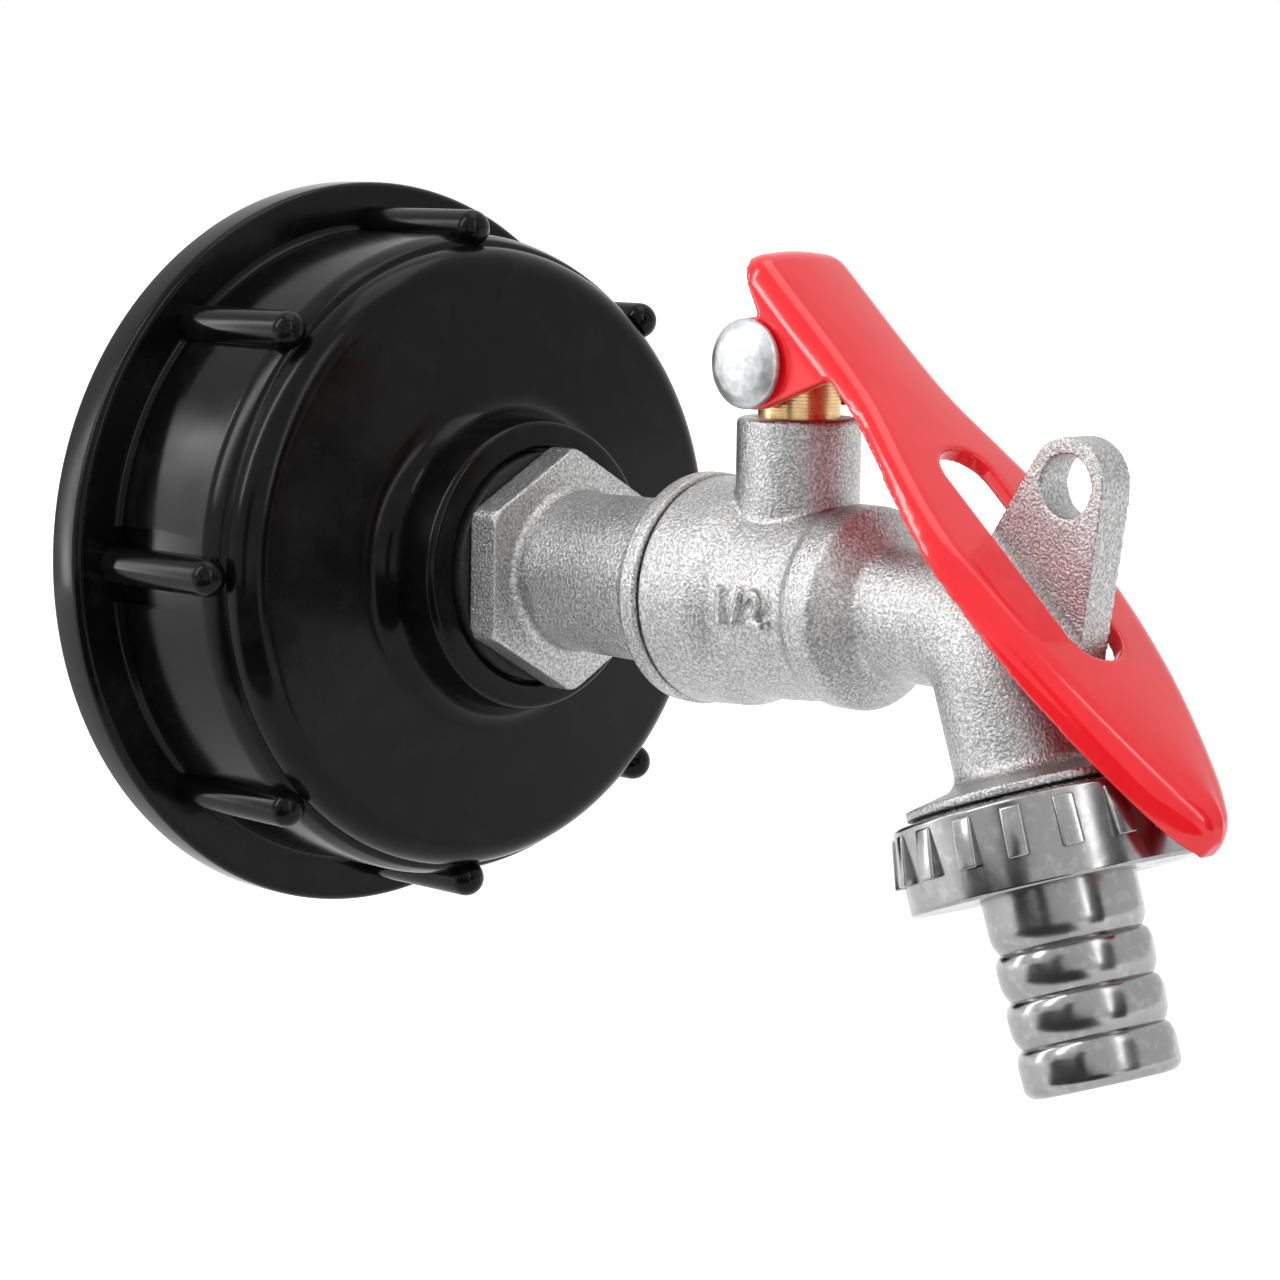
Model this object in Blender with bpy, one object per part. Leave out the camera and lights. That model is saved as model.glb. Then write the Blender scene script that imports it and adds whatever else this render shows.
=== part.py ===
"""Tap adapter for an intermediate bulk container: a screw cap, a ball valve and a hose union.

Frame: +X runs from the tank to the outlet, along the cap's axis, and +Z is up, along the
stem. The origin is the centre of the rear face of the cap's rim.
"""

import math

import bmesh
import bpy
from mathutils import Matrix, Vector

# Units and steps
MM = 0.001
WELD = 0.0001 * MM
OVERRUN = 1.0 * MM
CLEARANCE = 0.3 * MM
LARGE_STEPS = 48
MIDDLE_STEPS = 32
SMALL_STEPS = 24
ARC_STEPS = 3
SEAL_SIDES = 8
FINE_FILLET = 1.0 * MM
FINE_FILLET_TURN = math.radians(90)
FILLET_TURN = math.radians(45)
SMOOTH_BELOW = math.radians(50)

# Cap
RIM_RADIUS = 40.0 * MM
RIM_LENGTH = 4.9 * MM
RIM_EDGE = 0.9 * MM
SKIRT_RADIUS = 34.8 * MM
SKIRT_WALL = 4.4 * MM
SKIRT_BORE = SKIRT_RADIUS - SKIRT_WALL
SHOULDER_X = 21.9 * MM
SHOULDER_STEP = 1.3 * MM
SHOULDER_ROUND = 2.3 * MM
FACE_X = 25.1 * MM
FACE_ROUND = 3.7 * MM
FACE_CROWN = 0.7 * MM
FACE_WALL = 4.1 * MM
BOSS_RADIUS = 15.3 * MM
BOSS_FLARE = 0.9 * MM
BOSS_FILLET = 3.3 * MM
BOSS_EDGE = 0.9 * MM
BOSS_X = 33.2 * MM
BOSS_CROWN = 0.6 * MM
BOSS_BACK_X = 16.2 * MM
BOSS_BACK_RADIUS = 14.6 * MM
COUNTERBORE_RADIUS = 12.45 * MM
COUNTERBORE_DEPTH = 2.0 * MM
RIB_COUNT = 8
RIB_RADIUS = 2.0 * MM
RIB_HEIGHT = 2.5 * MM
RIB_END_X = 23.0 * MM
RIB_START_X = 2.4 * MM
POCKET_WIDTH = 8.0 * MM
POCKET_END_X = 10.0 * MM
POCKET_DEPTH = 1.1 * MM
GASKET_INNER = 22.0 * MM
GASKET_THICKNESS = 3.0 * MM

# Inlet connector
INLET_THREAD_RADIUS = 10.35 * MM
INLET_END_X = 15.6 * MM
THREAD_CHAMFER = 0.9 * MM
HEX_X = 34.2 * MM
HEX_THICKNESS = 3.8 * MM
HEX_FLATS = 22.4 * MM
HEX_CORNER_RADIUS = 12.75 * MM
HEX_CHAMFER = 0.5 * MM
NECK_RADIUS = 8.26 * MM
NECK_FILLET = 0.9 * MM
NECK_END_X = 51.5 * MM
DISC_X = 57.2 * MM
DISC_RADIUS = 11.75 * MM
DISC_EDGE = 0.35 * MM
SEAM_X = 59.2 * MM
JOINT_THREAD_RADIUS = 9.0 * MM
JOINT_THREAD_END_X = 64.5 * MM

# Ball, seats and waterway
STEM_X = 70.3 * MM
BALL_RADIUS = 7.6 * MM
BALL_BORE = 4.6 * MM
WATERWAY_RADIUS = 4.9 * MM
CHAMBER_RADIUS = 8.0 * MM
SEAT_BACK = 8.0 * MM
SEAT_FACE = 3.9 * MM
SEAT_RADIUS = 7.4 * MM
SEAT_BORE = 5.0 * MM
BALL_SLOT_WIDTH = 3.0 * MM
BALL_SLOT_FLOOR = 5.5 * MM

# Valve body
DRUM_RADIUS = 11.5 * MM
DRUM_END_RADIUS = 11.2 * MM
DRUM_END_X = 65.6 * MM
WAIST_RADIUS = 10.2 * MM
WAIST_END_RADIUS = 9.6 * MM
WAIST_X = 68.4 * MM
WAIST_END_X = 77.1 * MM
BELLY_STEP = 1.3 * MM
RING_RADIUS = 10.0 * MM
RING_X = 78.2 * MM
RING_END_X = 81.2 * MM
SPOUT_TUBE_RADIUS = 6.7 * MM
SPOUT_TUBE_X = 84.3 * MM
SPOUT_FILLET = 1.4 * MM
CAST_EDGE = 0.5 * MM
BONNET_RADIUS = 6.15 * MM
BONNET_TOP = 18.0 * MM
BONNET_EDGE = 0.6 * MM
SEAL_WIDTH = 1.2 * MM
SEAL_DEPTH = 1.0 * MM

# Stem
STEM_RADIUS = 4.08 * MM
STEM_BORE = 4.35 * MM
STEM_FLANGE_RADIUS = 5.0 * MM
STEM_FLANGE_BASE = 8.3 * MM
STEM_FLANGE_THICKNESS = 1.4 * MM
STEM_POCKET_RADIUS = 5.3 * MM
THRUST_WASHER_THICKNESS = 0.8 * MM
TANG_THICKNESS = 2.4 * MM
TANG_LENGTH = 7.0 * MM
TANG_BASE = 5.8 * MM
STEM_GROOVE_RADIUS = 3.1 * MM
STEM_GROOVE_WIDTH = 1.5 * MM
STEM_GROOVE_BASES = (12.1 * MM, 14.9 * MM)
STEM_FLAT_BASE = 19.6 * MM
STEM_FLATS = 7.5 * MM
STEM_TOP = 26.5 * MM
STEM_EDGE = 0.8 * MM

# Spout
SPOUT_X = 96.6 * MM
SPOUT_TILT = math.radians(19.4)
SPOUT_BEND = 8.0 * MM
LEG_RADIUS = 7.2 * MM
LEG_FILLET = 1.6 * MM
COLLAR_TOP = 14.3 * MM
COLLAR_EDGE = 15.5 * MM
COLLAR_BASE = 16.4 * MM
COLLAR_RADIUS = 12.4 * MM
SPOUT_THREAD_RADIUS = 11.6 * MM
SPOUT_THREAD_END = 20.0 * MM
BEND_STEPS = 8

# Padlock lug
LUG_THICKNESS = 4.0 * MM
LUG_HOLE_X = 106.1 * MM
LUG_HOLE_Z = 13.8 * MM
LUG_HOLE_RADIUS = 2.95 * MM
LUG_RADIUS = 4.5 * MM
LUG_ROOT_REAR = (93.2 * MM, 2.6 * MM)
LUG_ROOT_MIDDLE = (99.4 * MM, -8.6 * MM)
LUG_ROOT_FRONT = (107.3 * MM, -8.6 * MM)
LUG_EDGE = 0.4 * MM

# Hose union
NUT_TOP = 16.9 * MM
NUT_RADIUS = 14.0 * MM
NUT_RIB_COUNT = 18
NUT_RIB_HEIGHT = 0.9 * MM
NUT_RIB_TOP_HEIGHT = 0.2 * MM
NUT_RIB_EDGE = 0.15 * MM
NUT_RIB_WIDTH = 2.0 * MM
NUT_RIB_END = 22.3 * MM
NUT_END = 25.1 * MM
NUT_EDGE = 0.4 * MM
NUT_FLOOR = 1.7 * MM
NUT_BORE = 12.0 * MM
TAIL_RADIUS = 7.45 * MM
TAIL_FLANGE_RADIUS = 11.3 * MM
TAIL_FLANGE_THICKNESS = 1.2 * MM
TAIL_BORE = 5.0 * MM
TAIL_GROOVE_DEPTH = 0.55 * MM
TAIL_GROOVES = (30.3 * MM, 34.8 * MM, 39.3 * MM)
TAIL_GROOVE_LENGTH = 0.7 * MM
TAIL_END = 44.0 * MM
TAIL_ROUND = 1.8 * MM
TAIL_CHAMFER = 0.3 * MM
HOSE_WASHER_INNER = 5.6 * MM

# Handle
HANDLE_TOP_X = 69.0 * MM
HANDLE_TOP_Z = 35.3 * MM
HANDLE_SLOPE = math.radians(41.6)
HANDLE_LENGTH = 75.5 * MM
HANDLE_HALF_WIDTH = 11.0 * MM
HANDLE_THICKNESS = 1.8 * MM
HANDLE_BEND = 2.0 * MM
BEND_WIDTH_SHARE = 0.9
END_ROUND_SHARE = 0.95
HANDLE_TIP_DROP = 0.85 * MM
HANDLE_DROOP_START_SHARE = 0.635
NECK_WIDTH_SHARE = 0.627
# Share of the length, share of the greatest half width
HANDLE_OUTLINE_SHARES = (
    (0.0, 0.42),
    (0.011, 0.53),
    (0.033, 0.615),
    (0.057, NECK_WIDTH_SHARE),
    (0.2, NECK_WIDTH_SHARE),
    (0.29, 0.67),
    (0.371, 0.805),
    (0.45, 0.934),
    (0.53, 0.995),
    (0.61, 0.945),
    (0.689, 0.884),
    (0.768, 0.778),
    (0.848, 0.623),
    (0.927, 0.427),
    (0.967, 0.29),
    (0.987, 0.19),
    (1.0, 0.08),
)
HANDLE_STATIONS = 20
WALL_DEPTH = 4.2 * MM
# Share of the length, share of the side walls' greatest depth
WALL_DEPTH_SHARES = (
    (1.013, 1.0),
    (0.821, 0.952),
    (0.662, 0.881),
    (0.503, 0.619),
    (0.344, 0.5),
    (0.2265, 0.524),
)
WALL_END_DEPTHS = (
    (6.0 * MM, 3.9 * MM),
    (3.6 * MM, 3.0 * MM),
    (1.3 * MM, 2.15 * MM),
    (-1.0 * MM, 2.1 * MM),
)
EAR_RADIUS = 4.5 * MM
EAR_STEPS = 14
SLOT_WIDTH = 6.7 * MM
SLOT_START = 28.7 * MM
SLOT_END = 55.7 * MM
SLOT_EDGE_STEPS = 10
RIVET_Z = 23.4 * MM
RIVET_RADIUS = 2.0 * MM
RIVET_HEAD_RADIUS = 4.4 * MM
RIVET_HEAD_RIM = 0.7 * MM
RIVET_HEAD_CROWN = 1.2 * MM


def material(name, colour, roughness, metallic):
    made = bpy.data.materials.new(name)
    made.use_nodes = True
    shader = made.node_tree.nodes["Principled BSDF"]
    shader.inputs["Base Color"].default_value = (*colour, 1.0)
    shader.inputs["Roughness"].default_value = roughness
    shader.inputs["Metallic"].default_value = metallic
    return made


def empty(name, place):
    made = bpy.data.objects.new(name, None)
    made.matrix_world = place
    bpy.context.scene.collection.objects.link(made)
    return made


def mesh_object(name, shape, place=None, finish=None):
    """An object from a bmesh whose faces are turned outwards and smoothed between sharp edges."""
    bmesh.ops.recalc_face_normals(shape, faces=shape.faces)
    mesh = bpy.data.meshes.new(name)
    shape.to_mesh(mesh)
    shape.free()
    made = bpy.data.objects.new(name, mesh)
    if place is not None:
        made.matrix_world = place
    bpy.context.scene.collection.objects.link(made)
    if finish is not None:
        mesh.materials.append(finish)
    return made


def smooth(obj):
    obj.data.shade_smooth()
    obj.data.set_sharp_from_angle(angle=SMOOTH_BELOW)


def combine(target, tool, operation):
    """Applies one Boolean of the tool to the target, and removes the tool."""
    modifier = target.modifiers.new("combine", "BOOLEAN")
    modifier.operation = operation
    modifier.solver = "EXACT"
    modifier.object = tool
    bpy.context.view_layer.update()
    graph = bpy.context.evaluated_depsgraph_get()
    mesh = bpy.data.meshes.new_from_object(target.evaluated_get(graph))
    target.modifiers.clear()
    old = target.data
    target.data = mesh
    mesh.name = target.name
    bpy.data.meshes.remove(old)
    bpy.data.objects.remove(tool)
    return target


def parent_keeping_place(child, parent):
    bpy.context.view_layer.update()
    child.parent = parent
    child.matrix_parent_inverse = parent.matrix_world.inverted()


def filleted(corners):
    """Points of a closed outline whose corners, (along, across, fillet), are rounded by arcs."""
    points = []
    for index, (along, across, fillet) in enumerate(corners):
        corner = Vector((along, across))
        if not fillet:
            points.append(corner)
            continue
        ways = []
        room = []
        for neighbour in (corners[index - 1], corners[(index + 1) % len(corners)]):
            way = Vector(neighbour[:2]) - corner
            ways.append(way.normalized())
            room.append(way.length / 2 if neighbour[2] else way.length)
        half = ways[0].angle(ways[1]) / 2
        reach = min(fillet / math.tan(half), *room)
        radius = reach * math.tan(half)
        centre = corner + (ways[0] + ways[1]).normalized() * (radius / math.sin(half))
        first = corner + ways[0] * reach - centre
        last = corner + ways[1] * reach - centre
        start = math.atan2(first.y, first.x)
        turn = math.remainder(math.atan2(last.y, last.x) - start, math.tau)
        steps = math.ceil(abs(turn) / (FILLET_TURN if fillet > FINE_FILLET else FINE_FILLET_TURN))
        for step in range(steps + 1):
            angle = start + turn * step / steps
            points.append(centre + radius * Vector((math.cos(angle), math.sin(angle))))
    return points


def turned(name, corners, steps, place=None, finish=None):
    """A closed outline of (along, radius, fillet) corners, spun about the local X axis."""
    shape = bmesh.new()
    ring = [shape.verts.new((point.x, 0, point.y)) for point in filleted(corners)]
    for first, second in zip(ring, ring[1:] + ring[:1]):
        if first.co.z or second.co.z:
            shape.edges.new((first, second))
    bmesh.ops.spin(
        shape,
        geom=shape.verts[:] + shape.edges[:],
        cent=(0, 0, 0),
        axis=(1, 0, 0),
        angle=math.tau,
        steps=steps,
        use_merge=True,
    )
    bmesh.ops.remove_doubles(shape, verts=shape.verts, dist=WELD)
    return mesh_object(name, shape, place, finish)


def prism(name, outline, sweep, edge=0):
    """A flat outline of points swept along a vector, with its two rims broken."""
    shape = bmesh.new()
    near = [shape.verts.new(point) for point in outline]
    face = shape.faces.new(near)
    lifted = bmesh.ops.extrude_face_region(shape, geom=[face])["geom"]
    moved = {item for item in lifted if isinstance(item, bmesh.types.BMVert)}
    bmesh.ops.translate(shape, verts=list(moved), vec=sweep)
    if edge:
        rims = [item for item in shape.edges if len(moved.intersection(item.verts)) != 1]
        bmesh.ops.bevel(shape, geom=rims, offset=edge, segments=1, profile=0.5, affect="EDGES")
    return mesh_object(name, shape)


def block(name, low, high):
    shape = bmesh.new()
    bmesh.ops.create_cube(shape, size=1)
    centre = (Vector(low) + Vector(high)) / 2
    size = Vector(high) - Vector(low)
    bmesh.ops.transform(shape, verts=shape.verts, matrix=Matrix.LocRotScale(centre, None, size))
    return mesh_object(name, shape)


def lofted(name, sections, finish=None):
    """A closed solid through sections that have the same number of points."""
    shape = bmesh.new()
    loops = [[shape.verts.new(point) for point in section] for section in sections]
    for first, second in zip(loops, loops[1:]):
        for index in range(len(first)):
            following = (index + 1) % len(first)
            shape.faces.new((first[index], first[following], second[following], second[index]))
    shape.faces.new(loops[0])
    shape.faces.new(loops[-1])
    return mesh_object(name, shape, None, finish)


def along_z(x):
    """Local X points up, at the height of the cap's axis."""
    return Matrix.Translation((x, 0, 0)) @ Matrix.Rotation(-math.pi / 2, 4, "Y")


def along_y(x, z):
    """Local X points away from the viewer, along +Y."""
    return Matrix.Translation((x, 0, z)) @ Matrix.Rotation(math.pi / 2, 4, "Z")


def along_spout():
    """Local X points down the spout's leg, from the corner of its centre line."""
    return Matrix.Translation((SPOUT_X, 0, 0)) @ Matrix.Rotation(math.pi / 2 - SPOUT_TILT, 4, "Y")


def ring(name, start, end, inner, outer, edge, steps, place, finish):
    corners = [(start, inner, edge), (end, inner, edge), (end, outer, edge), (start, outer, edge)]
    return turned(name, corners, steps, place, finish)


def seal_ring(name, start, end, inner, outer, steps, place, finish):
    """An O-ring squeezed to fill its groove."""
    corners = []
    for side in range(SEAL_SIDES):
        angle = math.tau * (side + 0.5) / SEAL_SIDES
        along = (start + end - (end - start) * math.cos(angle)) / 2
        across = (inner + outer + (outer - inner) * math.sin(angle)) / 2
        corners.append((along, across, 0))
    return turned(name, corners, steps, place, finish)


def rod(name, start, end, radius, steps, place):
    corners = [(start, 0, 0), (end, 0, 0), (end, radius, 0), (start, radius, 0)]
    return turned(name, corners, steps, place)


def tank_cap(finish):
    """The screw cap: rim, threaded skirt, crowned face, drilled boss and eight grip ribs."""
    face_inside = FACE_X - FACE_WALL
    boss_foot = BOSS_RADIUS + BOSS_FLARE
    bore = INLET_THREAD_RADIUS + CLEARANCE
    seat_x = BOSS_X - COUNTERBORE_DEPTH
    corners = [
        (0, SKIRT_BORE, RIM_EDGE),
        (0, RIM_RADIUS, RIM_EDGE),
        (RIM_LENGTH, RIM_RADIUS, RIM_EDGE),
        (RIM_LENGTH, SKIRT_RADIUS, RIM_EDGE),
        (SHOULDER_X, SKIRT_RADIUS, SHOULDER_ROUND),
        (SHOULDER_X, SKIRT_RADIUS - SHOULDER_STEP, RIM_EDGE),
        (FACE_X, SKIRT_RADIUS - SHOULDER_STEP, FACE_ROUND),
        (FACE_X + FACE_CROWN, boss_foot, BOSS_FILLET),
        (BOSS_X - BOSS_CROWN, BOSS_RADIUS, BOSS_EDGE),
        (BOSS_X, COUNTERBORE_RADIUS, BOSS_EDGE / 2),
        (seat_x, COUNTERBORE_RADIUS, 0),
        (seat_x, bore, 0),
        (BOSS_BACK_X, bore, 0),
        (BOSS_BACK_X, BOSS_BACK_RADIUS, 0),
        (face_inside, BOSS_BACK_RADIUS, 0),
        (face_inside, SKIRT_BORE, 0),
    ]
    cap = turned("tank_cap", corners, LARGE_STEPS, None, finish)
    pocket = block(
        "pocket",
        (RIM_LENGTH, -SKIRT_RADIUS - OVERRUN, -POCKET_WIDTH / 2),
        (POCKET_END_X, -SKIRT_RADIUS + POCKET_DEPTH, POCKET_WIDTH / 2),
    )
    combine(cap, pocket, "DIFFERENCE")
    profile = [
        (RIB_START_X, 0, 0),
        (RIB_END_X, 0, 0),
        (RIB_END_X, RIB_RADIUS, RIB_RADIUS),
        (RIB_START_X, RIB_RADIUS, 0),
    ]
    for number in range(RIB_COUNT):
        around = Matrix.Rotation(math.tau * number / RIB_COUNT, 4, "X")
        outwards = Matrix.Translation((0, 0, SKIRT_RADIUS + RIB_HEIGHT - RIB_RADIUS))
        rib = turned("rib", profile, SMALL_STEPS // 2, around @ outwards)
        combine(cap, rib, "UNION")
    return cap


def cap_gasket(finish):
    """The flat sealing ring on the floor of the cap."""
    floor = FACE_X - FACE_WALL - CLEARANCE
    outer = SKIRT_BORE - CLEARANCE
    start = floor - GASKET_THICKNESS
    return ring(
        "cap_gasket", start, floor, GASKET_INNER, outer, 0, LARGE_STEPS, None, finish
    )


def adapter_washer(finish):
    """The flat washer in the boss, behind the hexagon."""
    start = BOSS_X - COUNTERBORE_DEPTH + CLEARANCE
    inner = INLET_THREAD_RADIUS + CLEARANCE
    outer = COUNTERBORE_RADIUS - CLEARANCE
    return ring(
        "adapter_washer", start, HEX_X - CLEARANCE, inner, outer, 0, MIDDLE_STEPS, None, finish
    )


def seat_outline(side):
    """A seat ring's outline: flat behind and hollowed to the ball, on one side of the ball."""
    reach = BALL_RADIUS + CLEARANCE
    inner_angle = math.asin(SEAT_BORE / reach)
    outer_angle = math.acos(SEAT_FACE / reach)
    points = [
        (STEM_X + side * SEAT_BACK, SEAT_BORE, 0),
        (STEM_X + side * SEAT_BACK, SEAT_RADIUS, 0),
        (STEM_X + side * SEAT_FACE, SEAT_RADIUS, 0),
    ]
    for step in range(ARC_STEPS + 1):
        angle = outer_angle + (inner_angle - outer_angle) * step / ARC_STEPS
        points.append((STEM_X + side * reach * math.cos(angle), reach * math.sin(angle), 0))
    return points


def inlet_connector(finish):
    """The male threaded end with its hexagon, neck and disc, which holds the rear seat."""
    pocket_x = STEM_X - SEAT_BACK - CLEARANCE
    corners = [
        (INLET_END_X, WATERWAY_RADIUS, 0),
        (INLET_END_X, INLET_THREAD_RADIUS, THREAD_CHAMFER),
        (HEX_X, INLET_THREAD_RADIUS, 0),
        (HEX_X, HEX_CORNER_RADIUS, HEX_CHAMFER),
        (HEX_X + HEX_THICKNESS, HEX_CORNER_RADIUS, HEX_CHAMFER),
        (HEX_X + HEX_THICKNESS, NECK_RADIUS, NECK_FILLET),
        (NECK_END_X, NECK_RADIUS, NECK_FILLET),
        (DISC_X, DISC_RADIUS, DISC_EDGE),
        (SEAM_X, DISC_RADIUS, DISC_EDGE),
        (SEAM_X, JOINT_THREAD_RADIUS, 0),
        (JOINT_THREAD_END_X, JOINT_THREAD_RADIUS, 0),
        (JOINT_THREAD_END_X, SEAT_RADIUS + CLEARANCE, 0),
        (pocket_x, SEAT_RADIUS + CLEARANCE, 0),
        (pocket_x, WATERWAY_RADIUS, 0),
    ]
    connector = turned("inlet_connector", corners, MIDDLE_STEPS, None, finish)
    flat = HEX_FLATS / 2
    for number in range(6):
        around = Matrix.Rotation(math.tau * (number + 0.5) / 6, 4, "X")
        shaving = block(
            "shaving",
            (HEX_X - CLEARANCE / 2, -HEX_FLATS, flat),
            (HEX_X + HEX_THICKNESS + NECK_FILLET / 2, HEX_FLATS, HEX_FLATS),
        )
        shaving.matrix_world = around
        combine(connector, shaving, "DIFFERENCE")
    return connector


def joint_seal(finish):
    """The ring between the connector's disc and the valve body."""
    start = SEAM_X + CLEARANCE
    inner = JOINT_THREAD_RADIUS + CLEARANCE
    return seal_ring(
        "connector_o_ring", start, start + SEAL_WIDTH, inner, inner + SEAL_DEPTH,
        MIDDLE_STEPS, None, finish,
    )


def ball(finish):
    """The ball, closed at rest: its bore runs across the flow and its slot along it."""
    mouth = math.asin(BALL_BORE / BALL_RADIUS)
    arc_steps = MIDDLE_STEPS // 3
    points = [(-BALL_RADIUS * math.cos(mouth), BALL_BORE, 0)]
    for step in range(1, arc_steps):
        angle = mouth + (math.pi - 2 * mouth) * step / arc_steps
        points.append((-BALL_RADIUS * math.cos(angle), BALL_RADIUS * math.sin(angle), 0))
    points.append((BALL_RADIUS * math.cos(mouth), BALL_BORE, 0))
    made = turned("ball", points, MIDDLE_STEPS, along_y(STEM_X, 0), finish)
    slot = block(
        "slot",
        (STEM_X - BALL_RADIUS, -BALL_SLOT_WIDTH / 2, BALL_SLOT_FLOOR),
        (STEM_X + BALL_RADIUS, BALL_SLOT_WIDTH / 2, BALL_RADIUS + OVERRUN),
    )
    return combine(made, slot, "DIFFERENCE")


def swept_pipe(name, level, leg, steps, finish=None):
    """A round bar along the outlet's centre line, through (distance, radius) points.

    It runs level, then round the bend, then down the leg. Distances on the leg are taken
    from the corner of the centre line.
    """
    turn = math.pi / 2 - SPOUT_TILT
    stations = [(Vector((x, 0, 0)), 0, radius) for x, radius in level]
    pivot = Vector((SPOUT_X - SPOUT_BEND * math.tan(turn / 2), 0, -SPOUT_BEND))
    for step in range(BEND_STEPS + 1):
        share = step / BEND_STEPS
        spoke = Vector((math.sin(turn * share), 0, math.cos(turn * share)))
        radius = level[-1][1] + (leg[0][1] - level[-1][1]) * share
        stations.append((pivot + spoke * SPOUT_BEND, turn * share, radius))
    corner = Vector((SPOUT_X, 0, 0))
    down = Vector((math.cos(turn), 0, -math.sin(turn)))
    stations += [(corner + down * distance, turn, radius) for distance, radius in leg]
    sections = []
    for centre, angle, radius in stations:
        across = Vector((math.sin(angle), 0, math.cos(angle)))
        section = []
        for number in range(steps):
            around = math.tau * number / steps
            spoke = across * math.cos(around) + Vector((0, math.sin(around), 0))
            section.append(centre + spoke * radius)
        sections.append(section)
    return lofted(name, sections, finish)


def tangent_angle(root, side):
    """The angle on the lug's head at which a straight flank from the root touches it."""
    reach = Vector(root) - Vector((LUG_HOLE_X, LUG_HOLE_Z))
    return math.atan2(reach.y, reach.x) + side * math.acos(LUG_RADIUS / reach.length)


def padlock_lug():
    """The blade cast on the elbow, with straight flanks tangent to its round head."""
    start = tangent_angle(LUG_ROOT_FRONT, 1)
    end = tangent_angle(LUG_ROOT_REAR, -1) % math.tau
    arc_steps = SMALL_STEPS // 2
    outline = [
        Vector((x, -LUG_THICKNESS / 2, z))
        for x, z in (LUG_ROOT_REAR, LUG_ROOT_MIDDLE, LUG_ROOT_FRONT)
    ]
    hole = Vector((LUG_HOLE_X, -LUG_THICKNESS / 2, LUG_HOLE_Z))
    for step in range(arc_steps + 1):
        angle = start + (end - start) * step / arc_steps
        outline.append(hole + LUG_RADIUS * Vector((math.cos(angle), 0, math.sin(angle))))
    return prism("lug", outline, Vector((0, LUG_THICKNESS, 0)), LUG_EDGE)


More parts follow.
